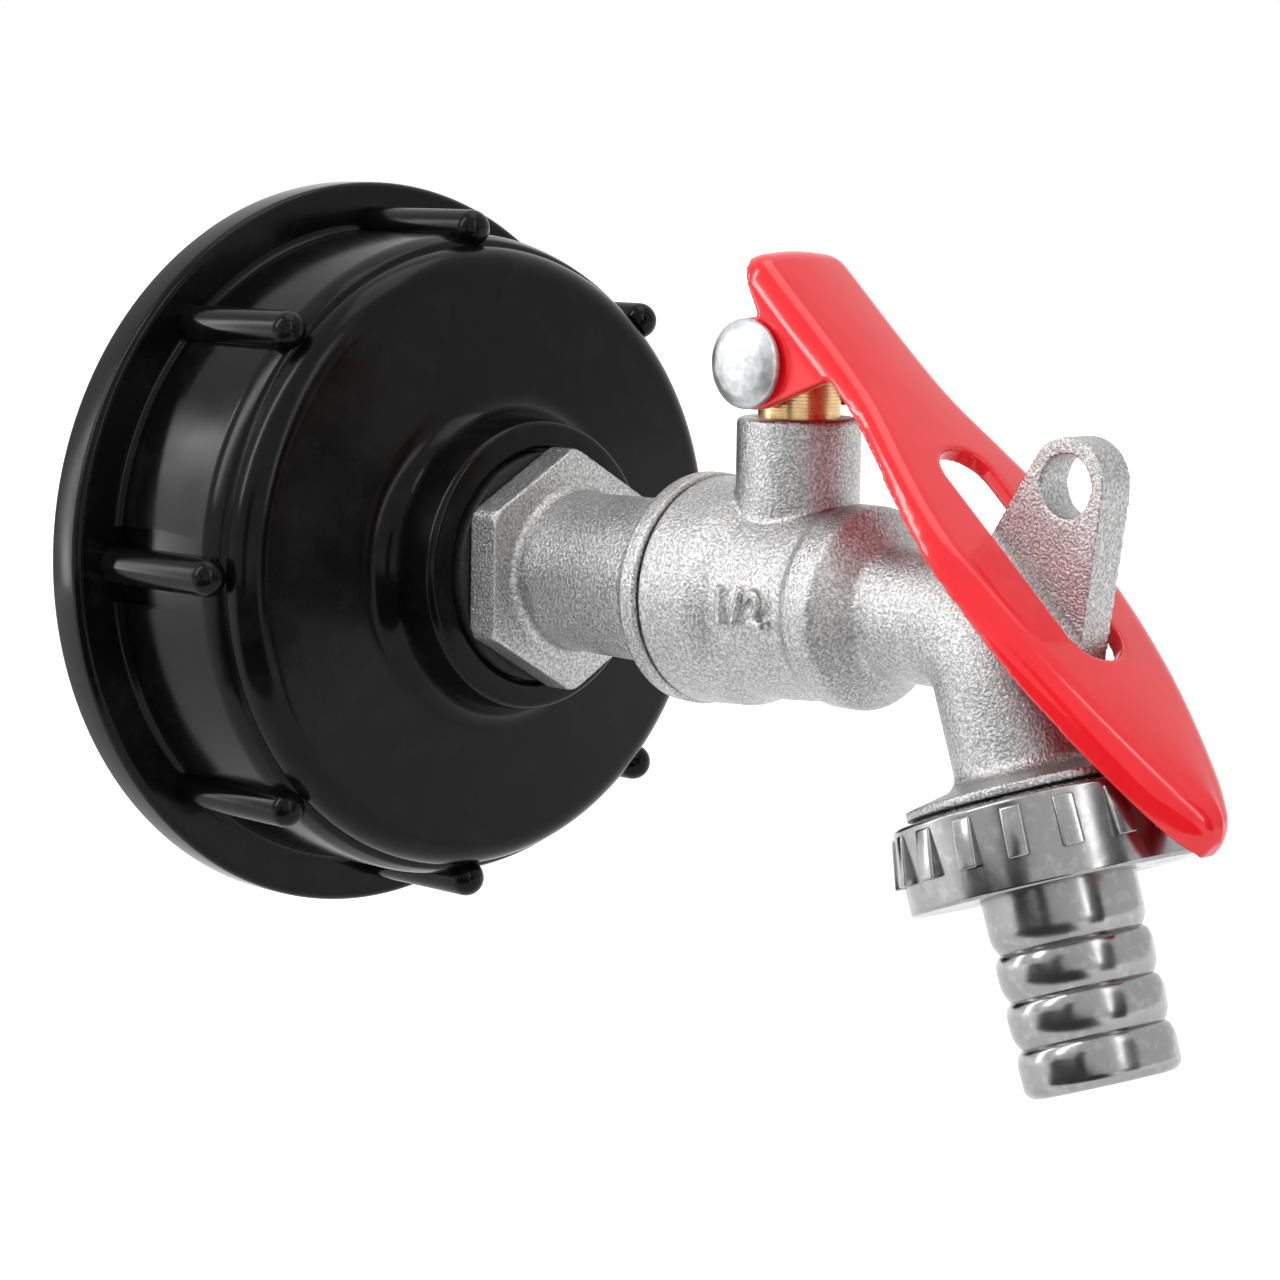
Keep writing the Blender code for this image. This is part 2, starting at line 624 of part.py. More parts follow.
def valve_body(finish):
    """The casting: ball chamber, bonnet, spout, elbow, threaded leg and padlock lug."""
    level = filleted([
        (SEAM_X + CLEARANCE, DRUM_RADIUS - DISC_EDGE, 0),
        (SEAM_X + CLEARANCE + DISC_EDGE, DRUM_RADIUS, 0),
        (DRUM_END_X, DRUM_END_RADIUS, BELLY_STEP),
        (WAIST_X - BELLY_STEP, (DRUM_END_RADIUS + WAIST_RADIUS) / 2, CAST_EDGE),
        (WAIST_X, WAIST_RADIUS, BELLY_STEP),
        (WAIST_END_X, WAIST_END_RADIUS, CAST_EDGE),
        (RING_X, RING_RADIUS, CAST_EDGE),
        (RING_END_X, RING_RADIUS, BELLY_STEP),
        (SPOUT_TUBE_X, SPOUT_TUBE_RADIUS, SPOUT_FILLET),
        (SPOUT_X - SPOUT_BEND, SPOUT_TUBE_RADIUS, 0),
    ])
    leg = filleted([
        (SPOUT_BEND, LEG_RADIUS, 0),
        (COLLAR_TOP, LEG_RADIUS, LEG_FILLET),
        (COLLAR_EDGE, COLLAR_RADIUS, 0),
        (COLLAR_BASE, COLLAR_RADIUS, 0),
        (COLLAR_BASE, SPOUT_THREAD_RADIUS, 0),
        (SPOUT_THREAD_END, SPOUT_THREAD_RADIUS, 0),
    ])
    body = swept_pipe("valve_body", level, leg, MIDDLE_STEPS, finish)
    bonnet = turned(
        "bonnet",
        [
            (0, 0, 0),
            (BONNET_TOP, 0, 0),
            (BONNET_TOP, BONNET_RADIUS, BONNET_EDGE),
            (0, BONNET_RADIUS, 0),
        ],
        MIDDLE_STEPS,
        along_z(STEM_X),
    )
    combine(body, bonnet, "UNION")
    combine(body, padlock_lug(), "UNION")
    seal_radius = JOINT_THREAD_RADIUS + 2 * CLEARANCE + SEAL_DEPTH
    seal_end = SEAM_X + SEAL_WIDTH + 2 * CLEARANCE
    cavity = turned(
        "cavity",
        [
            (SEAM_X - OVERRUN, 0, 0),
            (STEM_X + SEAT_BACK + CLEARANCE, 0, 0),
            (STEM_X + SEAT_BACK + CLEARANCE, SEAT_RADIUS + CLEARANCE, 0),
            (STEM_X + SEAT_FACE, SEAT_RADIUS + CLEARANCE, 0),
            (STEM_X + SEAT_FACE, CHAMBER_RADIUS, 0),
            (JOINT_THREAD_END_X + CLEARANCE, CHAMBER_RADIUS, 0),
            (JOINT_THREAD_END_X + CLEARANCE, JOINT_THREAD_RADIUS + CLEARANCE, 0),
            (seal_end, JOINT_THREAD_RADIUS + CLEARANCE, 0),
            (seal_end, seal_radius, 0),
            (SEAM_X - OVERRUN, seal_radius, 0),
        ],
        MIDDLE_STEPS,
    )
    combine(body, cavity, "DIFFERENCE")
    waterway = swept_pipe(
        "waterway",
        [(STEM_X + SEAT_BACK, WATERWAY_RADIUS)],
        [(SPOUT_THREAD_END + OVERRUN, WATERWAY_RADIUS)],
        SMALL_STEPS,
    )
    combine(body, waterway, "DIFFERENCE")
    stem_seat = STEM_FLANGE_BASE + STEM_FLANGE_THICKNESS + THRUST_WASHER_THICKNESS + 2 * CLEARANCE
    stem_bore = turned(
        "stem_bore",
        [
            (0, 0, 0),
            (BONNET_TOP + OVERRUN, 0, 0),
            (BONNET_TOP + OVERRUN, STEM_BORE, 0),
            (stem_seat, STEM_BORE, 0),
            (stem_seat, STEM_POCKET_RADIUS, 0),
            (0, STEM_POCKET_RADIUS, 0),
        ],
        SMALL_STEPS,
        along_z(STEM_X),
    )
    combine(body, stem_bore, "DIFFERENCE")
    lug_hole = rod(
        "lug_hole", -LUG_THICKNESS, LUG_THICKNESS, LUG_HOLE_RADIUS, SMALL_STEPS,
        along_y(LUG_HOLE_X, LUG_HOLE_Z),
    )
    return combine(body, lug_hole, "DIFFERENCE")


def thrust_washer(finish):
    """The low-friction washer between the stem's flange and the bonnet."""
    start = STEM_FLANGE_BASE + STEM_FLANGE_THICKNESS + CLEARANCE
    return ring(
        "thrust_washer", start, start + THRUST_WASHER_THICKNESS, STEM_RADIUS + CLEARANCE,
        STEM_FLANGE_RADIUS, 0, SMALL_STEPS, along_z(STEM_X), finish,
    )


def stem(finish):
    """The blow-out proof stem: tang, flange, two ring grooves and a head with two flats."""
    corners = [
        (STEM_TOP, 0, 0),
        (STEM_TOP, STEM_RADIUS, STEM_EDGE),
    ]
    for base in reversed(STEM_GROOVE_BASES):
        corners += [
            (base + STEM_GROOVE_WIDTH, STEM_RADIUS, 0),
            (base + STEM_GROOVE_WIDTH, STEM_GROOVE_RADIUS, 0),
            (base, STEM_GROOVE_RADIUS, 0),
            (base, STEM_RADIUS, 0),
        ]
    corners += [
        (STEM_FLANGE_BASE + STEM_FLANGE_THICKNESS, STEM_RADIUS, 0),
        (STEM_FLANGE_BASE + STEM_FLANGE_THICKNESS, STEM_FLANGE_RADIUS, 0),
        (STEM_FLANGE_BASE, STEM_FLANGE_RADIUS, 0),
        (STEM_FLANGE_BASE, 0, 0),
    ]
    made = turned("stem", corners, SMALL_STEPS, along_z(STEM_X), finish)
    tang = block(
        "tang",
        (STEM_X - TANG_LENGTH / 2, -TANG_THICKNESS / 2, TANG_BASE),
        (STEM_X + TANG_LENGTH / 2, TANG_THICKNESS / 2, STEM_FLANGE_BASE + CLEARANCE),
    )
    combine(made, tang, "UNION")
    for side in (-1, 1):
        inner = side * STEM_FLATS / 2
        outer = side * (STEM_RADIUS + OVERRUN)
        shaving = block(
            "shaving",
            (STEM_X - STEM_RADIUS - OVERRUN, min(inner, outer), STEM_FLAT_BASE),
            (STEM_X + STEM_RADIUS + OVERRUN, max(inner, outer), STEM_TOP + OVERRUN),
        )
        combine(made, shaving, "DIFFERENCE")
    hole = rod(
        "hole", -STEM_RADIUS - OVERRUN, STEM_RADIUS + OVERRUN, RIVET_RADIUS + CLEARANCE,
        SMALL_STEPS, along_y(STEM_X, RIVET_Z),
    )
    return combine(made, hole, "DIFFERENCE")


def stem_seal(name, base, finish):
    gap = (STEM_GROOVE_WIDTH - SEAL_WIDTH) / 2
    inner = STEM_GROOVE_RADIUS + CLEARANCE / 2
    outer = STEM_BORE - CLEARANCE / 2
    return seal_ring(
        name, base + gap, base + gap + SEAL_WIDTH, inner, outer,
        SMALL_STEPS, along_z(STEM_X), finish,
    )


def outline_half_width(share):
    """The handle's half width at a share of its length, smoothed between the outline's shares."""
    table = HANDLE_OUTLINE_SHARES
    for index in range(len(table) - 1):
        if share <= table[index + 1][0]:
            break
    before = table[max(index - 1, 0)]
    start, end = table[index], table[index + 1]
    after = table[min(index + 2, len(table) - 1)]
    span = end[0] - start[0]
    along = (share - start[0]) / span
    rise_start = (end[1] - before[1]) / (end[0] - before[0]) * span
    rise_end = (after[1] - start[1]) / (after[0] - start[0]) * span
    weights = (
        (2 * along**3 - 3 * along**2 + 1) * start[1]
        + (along**3 - 2 * along**2 + along) * rise_start
        + (3 * along**2 - 2 * along**3) * end[1]
        + (along**3 - along**2) * rise_end
    )
    return weights * HANDLE_HALF_WIDTH


def on_handle(along, across, height):
    """A point given along the handle's plate, across it and above it."""
    down = Vector((math.cos(HANDLE_SLOPE), 0, -math.sin(HANDLE_SLOPE)))
    outwards = Vector((math.sin(HANDLE_SLOPE), 0, math.cos(HANDLE_SLOPE)))
    start = Vector((HANDLE_TOP_X, across, HANDLE_TOP_Z))
    return start + down * along + outwards * height


def rivet_on_handle():
    """How far down the plate the rivet lies, and how far below the plate's top."""
    reach_x = STEM_X - HANDLE_TOP_X
    reach_z = HANDLE_TOP_Z - RIVET_Z
    along = reach_x * math.cos(HANDLE_SLOPE) + reach_z * math.sin(HANDLE_SLOPE)
    depth = reach_z * math.cos(HANDLE_SLOPE) - reach_x * math.sin(HANDLE_SLOPE)
    return along, depth


def plate_drop(along):
    """How far the plate's top has dropped below its plane towards the tip."""
    start = HANDLE_DROOP_START_SHARE * HANDLE_LENGTH
    return HANDLE_TIP_DROP * (max(along - start, 0) / (HANDLE_LENGTH - start)) ** 2


def end_rounding(along):
    """How far the top falls over the bend at either end of the handle."""
    inside = max(HANDLE_BEND - along, along - HANDLE_LENGTH + HANDLE_BEND, 0) * END_ROUND_SHARE
    return HANDLE_BEND - math.sqrt(HANDLE_BEND**2 - inside**2)


def outer_section(along, foot):
    """A cross-section of the pressing's outside, down to the foot."""
    half = outline_half_width(along / HANDLE_LENGTH)
    bend = min(HANDLE_BEND, BEND_WIDTH_SHARE * half)
    fall = end_rounding(along)
    arc = []
    for step in range(ARC_STEPS + 1):
        angle = math.pi / 2 * step / ARC_STEPS
        height = -fall - (HANDLE_BEND - fall) * (1 - math.sin(angle))
        arc.append((half - bend + bend * math.cos(angle), height - plate_drop(along)))
    loop = [(half, -foot)] + arc
    loop += [(-across, height) for across, height in reversed(loop)]
    return [on_handle(along, across, height) for across, height in loop]


def inner_section(along, foot):
    """A cross-section of the hollow under the plate and between the side walls."""
    half = outline_half_width(along / HANDLE_LENGTH) - HANDLE_THICKNESS
    ceiling = -HANDLE_THICKNESS - plate_drop(along)
    loop = [(half, -foot), (half, ceiling), (-half, ceiling), (-half, -foot)]
    return [on_handle(along, across, height) for across, height in loop]


def side_profile():
    """The handle seen from the side: its walls' lower edges and the round ear."""
    ear_along, ear_depth = rivet_on_handle()
    walls = [(share * HANDLE_LENGTH, deep * WALL_DEPTH) for share, deep in WALL_DEPTH_SHARES]
    points = [(WALL_END_DEPTHS[-1][0], OVERRUN), (walls[0][0], OVERRUN)]
    points += [(along, -depth - plate_drop(along)) for along, depth in walls]
    foot = Vector(points[-1]) - Vector((ear_along, -ear_depth))
    start = math.atan2(foot.y, foot.x) - math.acos(EAR_RADIUS / foot.length)
    waist = Vector((WALL_END_DEPTHS[0][0] - ear_along, ear_depth - WALL_END_DEPTHS[0][1]))
    end = math.atan2(waist.y, waist.x) - math.tau
    for step in range(EAR_STEPS + 1):
        angle = start + (end - start) * step / EAR_STEPS
        along = ear_along + EAR_RADIUS * math.cos(angle)
        points.append((along, EAR_RADIUS * math.sin(angle) - ear_depth))
    points += [(along, -depth) for along, depth in WALL_END_DEPTHS]
    side = -HANDLE_HALF_WIDTH - OVERRUN
    return [on_handle(along, side, height) for along, height in points]


def handle(finish):
    """The pressed lever: a leaf-shaped channel, two ears for the rivet, and the lug's slot."""
    foot = rivet_on_handle()[1] + EAR_RADIUS + OVERRUN
    stations = {HANDLE_LENGTH * number / HANDLE_STATIONS for number in range(HANDLE_STATIONS + 1)}
    stations |= {share * HANDLE_LENGTH for share, _ in HANDLE_OUTLINE_SHARES}
    for step in range(ARC_STEPS):
        rounding = HANDLE_BEND * (1 - math.cos(math.pi / 2 * step / ARC_STEPS))
        stations |= {rounding, HANDLE_LENGTH - rounding}
    kept = []
    for along in sorted(stations):
        if not kept or along - kept[-1] > HANDLE_THICKNESS / 8:
            kept.append(along)
    lever = lofted("handle", [outer_section(along, foot) for along in kept], finish)
    thin = HANDLE_THICKNESS + CLEARANCE
    hollow = [
        inner_section(along, foot + OVERRUN)
        for along in kept
        if along > HANDLE_THICKNESS and outline_half_width(along / HANDLE_LENGTH) > thin
    ]
    combine(lever, lofted("hollow", hollow), "DIFFERENCE")
    width = 2 * (HANDLE_HALF_WIDTH + OVERRUN)
    combine(lever, prism("profile", side_profile(), Vector((0, width, 0))), "INTERSECT")
    slot_end = SLOT_WIDTH / 2
    floor = HANDLE_BEND + HANDLE_THICKNESS
    outline = []
    for centre, turn in ((SLOT_END - slot_end, 0), (SLOT_START + slot_end, math.pi)):
        for step in range(SLOT_EDGE_STEPS + 1):
            angle = turn - math.pi / 2 + math.pi * step / SLOT_EDGE_STEPS
            along = centre + slot_end * math.cos(angle)
            outline.append(on_handle(along, slot_end * math.sin(angle), -floor))
    outwards = on_handle(0, 0, floor + OVERRUN) - on_handle(0, 0, 0)
    combine(lever, prism("slot", outline, outwards), "DIFFERENCE")
    hole = rod(
        "hole", -HANDLE_HALF_WIDTH, HANDLE_HALF_WIDTH, RIVET_RADIUS + CLEARANCE,
        SMALL_STEPS, along_y(STEM_X, RIVET_Z),
    )
    return combine(lever, hole, "DIFFERENCE")


def handle_rivet(finish):
    """The rivet that pins the ears to the stem, with a low domed head at each end."""
    head = HANDLE_HALF_WIDTH * NECK_WIDTH_SHARE + CLEARANCE
    rim = head + RIVET_HEAD_RIM
    crown = rim + RIVET_HEAD_CROWN
    sphere = (RIVET_HEAD_RADIUS**2 + RIVET_HEAD_CROWN**2) / (2 * RIVET_HEAD_CROWN)
    dome = []
    for step in range(ARC_STEPS + 2):
        radius = RIVET_HEAD_RADIUS * (1 - step / (ARC_STEPS + 1))
        dome.append((crown - sphere + math.sqrt(sphere**2 - radius**2), radius, 0))
    far = [(head, RIVET_RADIUS, 0), (head, RIVET_HEAD_RADIUS, 0)] + dome
    near = [(-along, radius, fillet) for along, radius, fillet in reversed(far)]
    return turned("handle_rivet", near + far, SMALL_STEPS, along_y(STEM_X, RIVET_Z), finish)


def hose_nut(finish):
    """The union nut: eighteen raised grips on its upper part and a floor that holds the tail."""
    floor = NUT_END - NUT_FLOOR
    corners = [
        (NUT_TOP, NUT_BORE, 0),
        (floor, NUT_BORE, 0),
        (floor, TAIL_RADIUS + CLEARANCE, 0),
        (NUT_END, TAIL_RADIUS + CLEARANCE, 0),
        (NUT_END, NUT_RADIUS, NUT_EDGE),
        (NUT_TOP, NUT_RADIUS, NUT_EDGE),
    ]
    nut = turned("hose_nut", corners, 3 * NUT_RIB_COUNT, along_spout(), finish)
    root = (NUT_RADIUS + NUT_BORE) / 2
    start = NUT_TOP + 2 * NUT_EDGE
    wedge = [
        (start, root),
        (start, NUT_RADIUS + NUT_RIB_TOP_HEIGHT),
        (NUT_RIB_END, NUT_RADIUS + NUT_RIB_HEIGHT),
        (NUT_RIB_END, root),
    ]
    for number in range(NUT_RIB_COUNT):
        turn = Matrix.Rotation(math.tau * number / NUT_RIB_COUNT, 4, "X")
        place = along_spout() @ turn
        outline = [place @ Vector((along, -NUT_RIB_WIDTH / 2, radius)) for along, radius in wedge]
        sweep = place.to_3x3() @ Vector((0, NUT_RIB_WIDTH, 0))
        combine(nut, prism("rib", outline, sweep, NUT_RIB_EDGE), "UNION")
    return nut


def tail_stack():
    """Where the washer and the tail's flange lie between the leg's end and the nut's floor."""
    flange_end = NUT_END - NUT_FLOOR - CLEARANCE
    flange_start = flange_end - TAIL_FLANGE_THICKNESS
    washer_start = SPOUT_THREAD_END + CLEARANCE
    return washer_start, flange_start - CLEARANCE, flange_start, flange_end


def hose_tail(finish):
    """The barbed tail: each barb starts full behind a narrow groove and tapers to the next."""
    _, _, flange_start, flange_end = tail_stack()
    groove_radius = TAIL_RADIUS - TAIL_GROOVE_DEPTH
    corners = [
        (TAIL_END, TAIL_BORE, TAIL_CHAMFER),
        (flange_start, TAIL_BORE, 0),
        (flange_start, TAIL_FLANGE_RADIUS, 0),
        (flange_end, TAIL_FLANGE_RADIUS, 0),
        (flange_end, TAIL_RADIUS, 0),
    ]
    for groove in TAIL_GROOVES:
        corners += [
            (groove, groove_radius, 0),
            (groove + TAIL_GROOVE_LENGTH, TAIL_RADIUS, TAIL_GROOVE_LENGTH / 2),
        ]
    corners.append((TAIL_END, TAIL_RADIUS, TAIL_ROUND))
    return turned("hose_tail", corners, MIDDLE_STEPS, along_spout(), finish)


def hose_washer(finish):
    start, end, _, _ = tail_stack()
    return ring(
        "hose_washer", start, end, HOSE_WASHER_INNER, TAIL_FLANGE_RADIUS, 0, MIDDLE_STEPS,
        along_spout(), finish,
    )


def main():
    for old in list(bpy.data.objects):
        bpy.data.objects.remove(old, do_unlink=True)
    plastic = material("black_plastic", (0.02, 0.02, 0.022), 0.28, 0.0)
    rubber = material("black_rubber", (0.03, 0.03, 0.03), 0.7, 0.0)
    casting = material("nickel_casting", (0.66, 0.66, 0.66), 0.38, 1.0)
    chrome = material("polished_chrome", (0.8, 0.8, 0.81), 0.12, 1.0)
    brass = material("brass", (0.72, 0.52, 0.27), 0.3, 1.0)
    coating = material("red_coating", (0.86, 0.05, 0.07), 0.3, 0.0)
    aluminium = material("aluminium", (0.82, 0.83, 0.84), 0.35, 1.0)
    seat = material("white_seat", (0.9, 0.9, 0.88), 0.5, 0.0)
    fixed = [
        tank_cap(plastic),
        cap_gasket(rubber),
        adapter_washer(rubber),
        inlet_connector(casting),
        joint_seal(rubber),
        valve_body(casting),
        turned("inlet_seat_ring", seat_outline(-1), MIDDLE_STEPS, None, seat),
        turned("outlet_seat_ring", seat_outline(1), MIDDLE_STEPS, None, seat),
        thrust_washer(seat),
        hose_washer(rubber),
    ]
    stem_axis = empty("stem_axis", Matrix.Translation((STEM_X, 0, 0)))
    turning = [
        ball(chrome),
        stem(brass),
        stem_seal("stem_o_ring_lower", STEM_GROOVE_BASES[0], rubber),
        stem_seal("stem_o_ring_upper", STEM_GROOVE_BASES[1], rubber),
    ]
    handle_pivot = empty("handle_pivot", along_y(STEM_X, RIVET_Z))
    parent_keeping_place(handle_pivot, stem_axis)
    lifting = [handle(coating), handle_rivet(aluminium)]
    spout_axis = empty("spout_axis", along_spout())
    unscrewing = [hose_nut(chrome), hose_tail(chrome)]
    for piece in turning:
        parent_keeping_place(piece, stem_axis)
    for piece in lifting:
        parent_keeping_place(piece, handle_pivot)
    for piece in unscrewing:
        parent_keeping_place(piece, spout_axis)
    for piece in fixed + turning + lifting + unscrewing:
        smooth(piece)


main()
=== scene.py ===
# %% [markdown]
# # An IBC tank valve, dressed for a studio picture
#
# A black cap screws onto the outlet of a container. In its boss sits a ball valve with a
# red handle, and below that a union for a hose. The CAD model is loaded as a fixed frame:
# it gives every size and every moving body. Its round pieces are made of flat facets,
# which is right for a collision test and wrong for a polished surface. So each piece that
# shows is modelled again here with more steps and rounder edges, in the same place, and
# rides on the same body.

import math

import bpy
from mathutils import Matrix, Vector


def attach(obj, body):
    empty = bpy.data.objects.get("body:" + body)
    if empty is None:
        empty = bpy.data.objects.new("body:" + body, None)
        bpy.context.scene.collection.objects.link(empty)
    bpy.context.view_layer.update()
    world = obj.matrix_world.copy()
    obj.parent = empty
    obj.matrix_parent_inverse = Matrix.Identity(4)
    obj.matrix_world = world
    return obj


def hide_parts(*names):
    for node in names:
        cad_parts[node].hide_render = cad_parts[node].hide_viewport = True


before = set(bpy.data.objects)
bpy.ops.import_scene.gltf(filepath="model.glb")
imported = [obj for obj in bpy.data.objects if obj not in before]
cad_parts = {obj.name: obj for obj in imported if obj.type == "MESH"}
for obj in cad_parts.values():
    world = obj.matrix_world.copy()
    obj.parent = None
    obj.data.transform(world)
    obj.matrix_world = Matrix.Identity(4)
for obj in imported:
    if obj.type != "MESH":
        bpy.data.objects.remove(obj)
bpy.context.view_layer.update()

# %% [markdown]
# ## Helpers
#
# Sizes are written in millimetres, as on a drawing, and become metres on the way in. Work
# by hand in Blender is a chain of operators on whatever is selected. These few helpers
# keep that chain tidy: deselect everything, select one object, put its place in its mesh,
# and add and apply one modifier at a time.

# %% Millimetres
MM = 0.001


def mm(x, y, z):
    """A place or a distance given in millimetres."""
    return Vector((x, y, z)) * MM


def shift(x, y, z):
    """The matrix that moves a piece by millimetres."""
    return Matrix.Translation(mm(x, y, z))


def about(axis, angle):
    """The matrix that turns a piece about an axis through the origin."""
    return Matrix.Rotation(angle, 4, axis)


# %% Selection and modifiers
def deselect():
    """Deselect everything, because an operator acts on all that is selected."""
    bpy.ops.object.select_all(action="DESELECT")


def only(obj):
    """Select one object and make it the active one."""
    deselect()
    obj.select_set(True)
    bpy.context.view_layer.objects.active = obj


def settle(obj, place=None):
    """Move a piece to its place, then put that place in its mesh."""
    if place is not None:
        obj.matrix_world = place
    only(obj)
    bpy.ops.object.transform_apply(location=True, rotation=True, scale=True)
    return obj


def apply_modifier(obj, kind, **settings):
    """Add one modifier, give it its settings and apply it."""
    only(obj)
    modifier = obj.modifiers.new("step", kind)
    for key, value in settings.items():
        setattr(modifier, key, value)
    bpy.ops.object.modifier_apply(modifier=modifier.name)


# %% Several pieces at once
def combine(obj, tool, operation):
    """Join a tool to a piece, or cut the piece with it, and delete the tool."""
    apply_modifier(obj, "BOOLEAN", operation=operation, solver="EXACT", object=tool)
    bpy.data.objects.remove(tool)


def join(name, pieces):
    """Make one object of several, without joining their surfaces."""
    only(pieces[0])
    for piece in pieces[1:]:
        piece.select_set(True)
    bpy.ops.object.join()
    pieces[0].name = name
    return pieces[0]


def copied(obj, place):
    """Copy a piece, with a mesh of its own, and put the copy in its place."""
    only(obj)
    bpy.ops.object.duplicate()
    return settle(bpy.context.object, place)


def report(obj):
    """Print how big a piece is, which shows at once whether a step went wrong."""
    size = [round(side / MM, 2) for side in obj.dimensions]
    print(obj.name, "measures", size, "mm with", len(obj.data.polygons), "faces")


# %% [markdown]
# ## Outlines
#
# Every section of the tap is an outline of straight lines and rounded corners. A Bevel
# modifier could round them, but the corners of one outline need radii from a fifth of a
# millimetre to nearly four. So each corner is written with its own radius and its arc is
# worked out here. The outline is then drawn as by hand: a plane is merged to one point,
# and the point is extruded from corner to corner.

# %% Rounded corners
ARC_STEP = math.radians(12)


def arc(centre, radius, start, turn, steps):
    """Points along an arc, with both of its ends."""
    points = []
    for step in range(steps + 1):
        angle = start + turn * step / steps
        points.append(centre + Vector((math.cos(angle), math.sin(angle))) * radius)
    return points


def rounded(corners):
    """Turn (along, across, radius) corners into points with arcs, in millimetres."""
    points = []
    for index, (along, across, radius) in enumerate(corners):
        corner = Vector((along, across))
        if not radius:
            points.append(corner)
            continue
        ways = []
        room = []
        for other in (corners[index - 1], corners[(index + 1) % len(corners)]):
            way = Vector(other[:2]) - corner
            ways.append(way.normalized())
            room.append(way.length / 2 if other[2] else way.length)
        half = ways[0].angle(ways[1]) / 2
        reach = min(radius / math.tan(half), *room)
        true_radius = reach * math.tan(half)
        middle = (ways[0] + ways[1]).normalized()
        centre = corner + middle * (true_radius / math.sin(half))
        first = corner + ways[0] * reach - centre
        last = corner + ways[1] * reach - centre
        start = math.atan2(first.y, first.x)
        turn = math.remainder(math.atan2(last.y, last.x) - start, math.tau)
        steps = max(2, math.ceil(abs(turn) / ARC_STEP))
        points += arc(centre, true_radius, start, turn, steps)
    return points


# %% Drawing an outline
WELD = 0.001 * MM


def draw(name, points):
    """Draw a chain of edges, and stay in edit mode with all of it selected."""
    deselect()
    bpy.ops.mesh.primitive_plane_add(size=MM)
    obj = bpy.context.object
    obj.name = name
    bpy.ops.object.mode_set(mode="EDIT")
    bpy.ops.mesh.merge(type="CENTER")
    bpy.ops.transform.translate(value=points[0])
    for before, after in zip(points, points[1:]):
        bpy.ops.mesh.extrude_region_move(TRANSFORM_OT_translate={"value": after - before})
    bpy.ops.mesh.select_all(action="SELECT")
    bpy.ops.mesh.remove_doubles(threshold=WELD)
    return obj


def close_up():
    """Merge what meets, turn the faces outwards and leave edit mode."""
    bpy.ops.mesh.select_all(action="SELECT")
    bpy.ops.mesh.remove_doubles(threshold=WELD)
    bpy.ops.mesh.normals_make_consistent(inside=False)
    bpy.ops.object.mode_set(mode="OBJECT")


# %% [markdown]
# Two ways to make a solid from an outline cover nearly the whole tap. A turned part is a
# half outline spun about its axis. A pressed or cast plate is a face pushed out to a
# thickness. The outline of a solid bar starts and ends on the axis, so it stays open.

# %% Turned parts and plates
def turned(name, corners, steps, place=None, closed=True):
    """Spin an outline of (along, radius, rounding) about the X axis, then place it."""
    outline = [mm(point.x, 0, point.y) for point in rounded(corners)]
    obj = draw(name, outline + outline[:1] if closed else outline)
    bpy.ops.mesh.spin(steps=steps, angle=math.tau, center=(0, 0, 0), axis=(1, 0, 0))
    close_up()
    return settle(obj, place)


def plate(name, points, sweep):
    """Fill an outline of points in metres and push it out along a vector."""
    obj = draw(name, points + points[:1])
    bpy.ops.mesh.edge_face_add()
    bpy.ops.mesh.extrude_region_move(TRANSFORM_OT_translate={"value": sweep})
    close_up()
    return obj


SMOOTH_ANGLE = math.radians(30)


def smooth(obj):
    """Shade a machined or moulded piece smooth, except over its real edges."""
    only(obj)
    bpy.ops.object.shade_smooth_by_angle(angle=SMOOTH_ANGLE)
    report(obj)


# %% [markdown]
# ## Materials
#
# Two effects come back in several finishes, so each is a node group. The grain is a fine
# noise: its height feeds a bump, and its peaks are a mask for bright or dark specks. The
# smudge is a slow noise that varies the roughness, as handling and polishing do. Both
# read the piece's own coordinates, so the pattern stays on the piece when it moves.

# %% Nodes, links and groups
def add_node(tree, kind, values=None, **settings):
    """Add a node with its settings, and give its sockets their values."""
    node = tree.nodes.new(kind)
    for key, value in settings.items():
        setattr(node, key, value)
    for key, value in (values or {}).items():
        node.inputs[key].default_value = value
    return node


def link(tree, *pairs):
    """Link each output to its input."""
    for output, socket in pairs:
        tree.links.new(output, socket)


def new_group(name, inputs, outputs):
    """Make an empty node group with named sockets."""
    group = bpy.data.node_groups.new(name, "ShaderNodeTree")
    for label in inputs:
        kind = "NodeSocketVector" if label == "Vector" else "NodeSocketFloat"
        group.interface.new_socket(name=label, in_out="INPUT", socket_type=kind)
    for label in outputs:
        group.interface.new_socket(name=label, in_out="OUTPUT", socket_type="NodeSocketFloat")
    return group, group.nodes.new("NodeGroupInput"), group.nodes.new("NodeGroupOutput")


# %% The grain
grain_group, given, result = new_group(
    "surface_grain", ["Vector", "Scale", "Peak"], ["Height", "Peaks"]
)
noise = add_node(grain_group, "ShaderNodeTexNoise", {"Detail": 3, "Roughness": 0.6})
peaks = add_node(grain_group, "ShaderNodeMapRange", {"From Max": 0.75})
link(
    grain_group,
    (given.outputs["Vector"], noise.inputs["Vector"]),
    (given.outputs["Scale"], noise.inputs["Scale"]),
    (noise.outputs["Fac"], result.inputs["Height"]),
    (noise.outputs["Fac"], peaks.inputs["Value"]),
    (given.outputs["Peak"], peaks.inputs["From Min"]),
    (peaks.outputs["Result"], result.inputs["Peaks"]),
)
print("group", grain_group.name, "has", len(grain_group.nodes), "nodes")

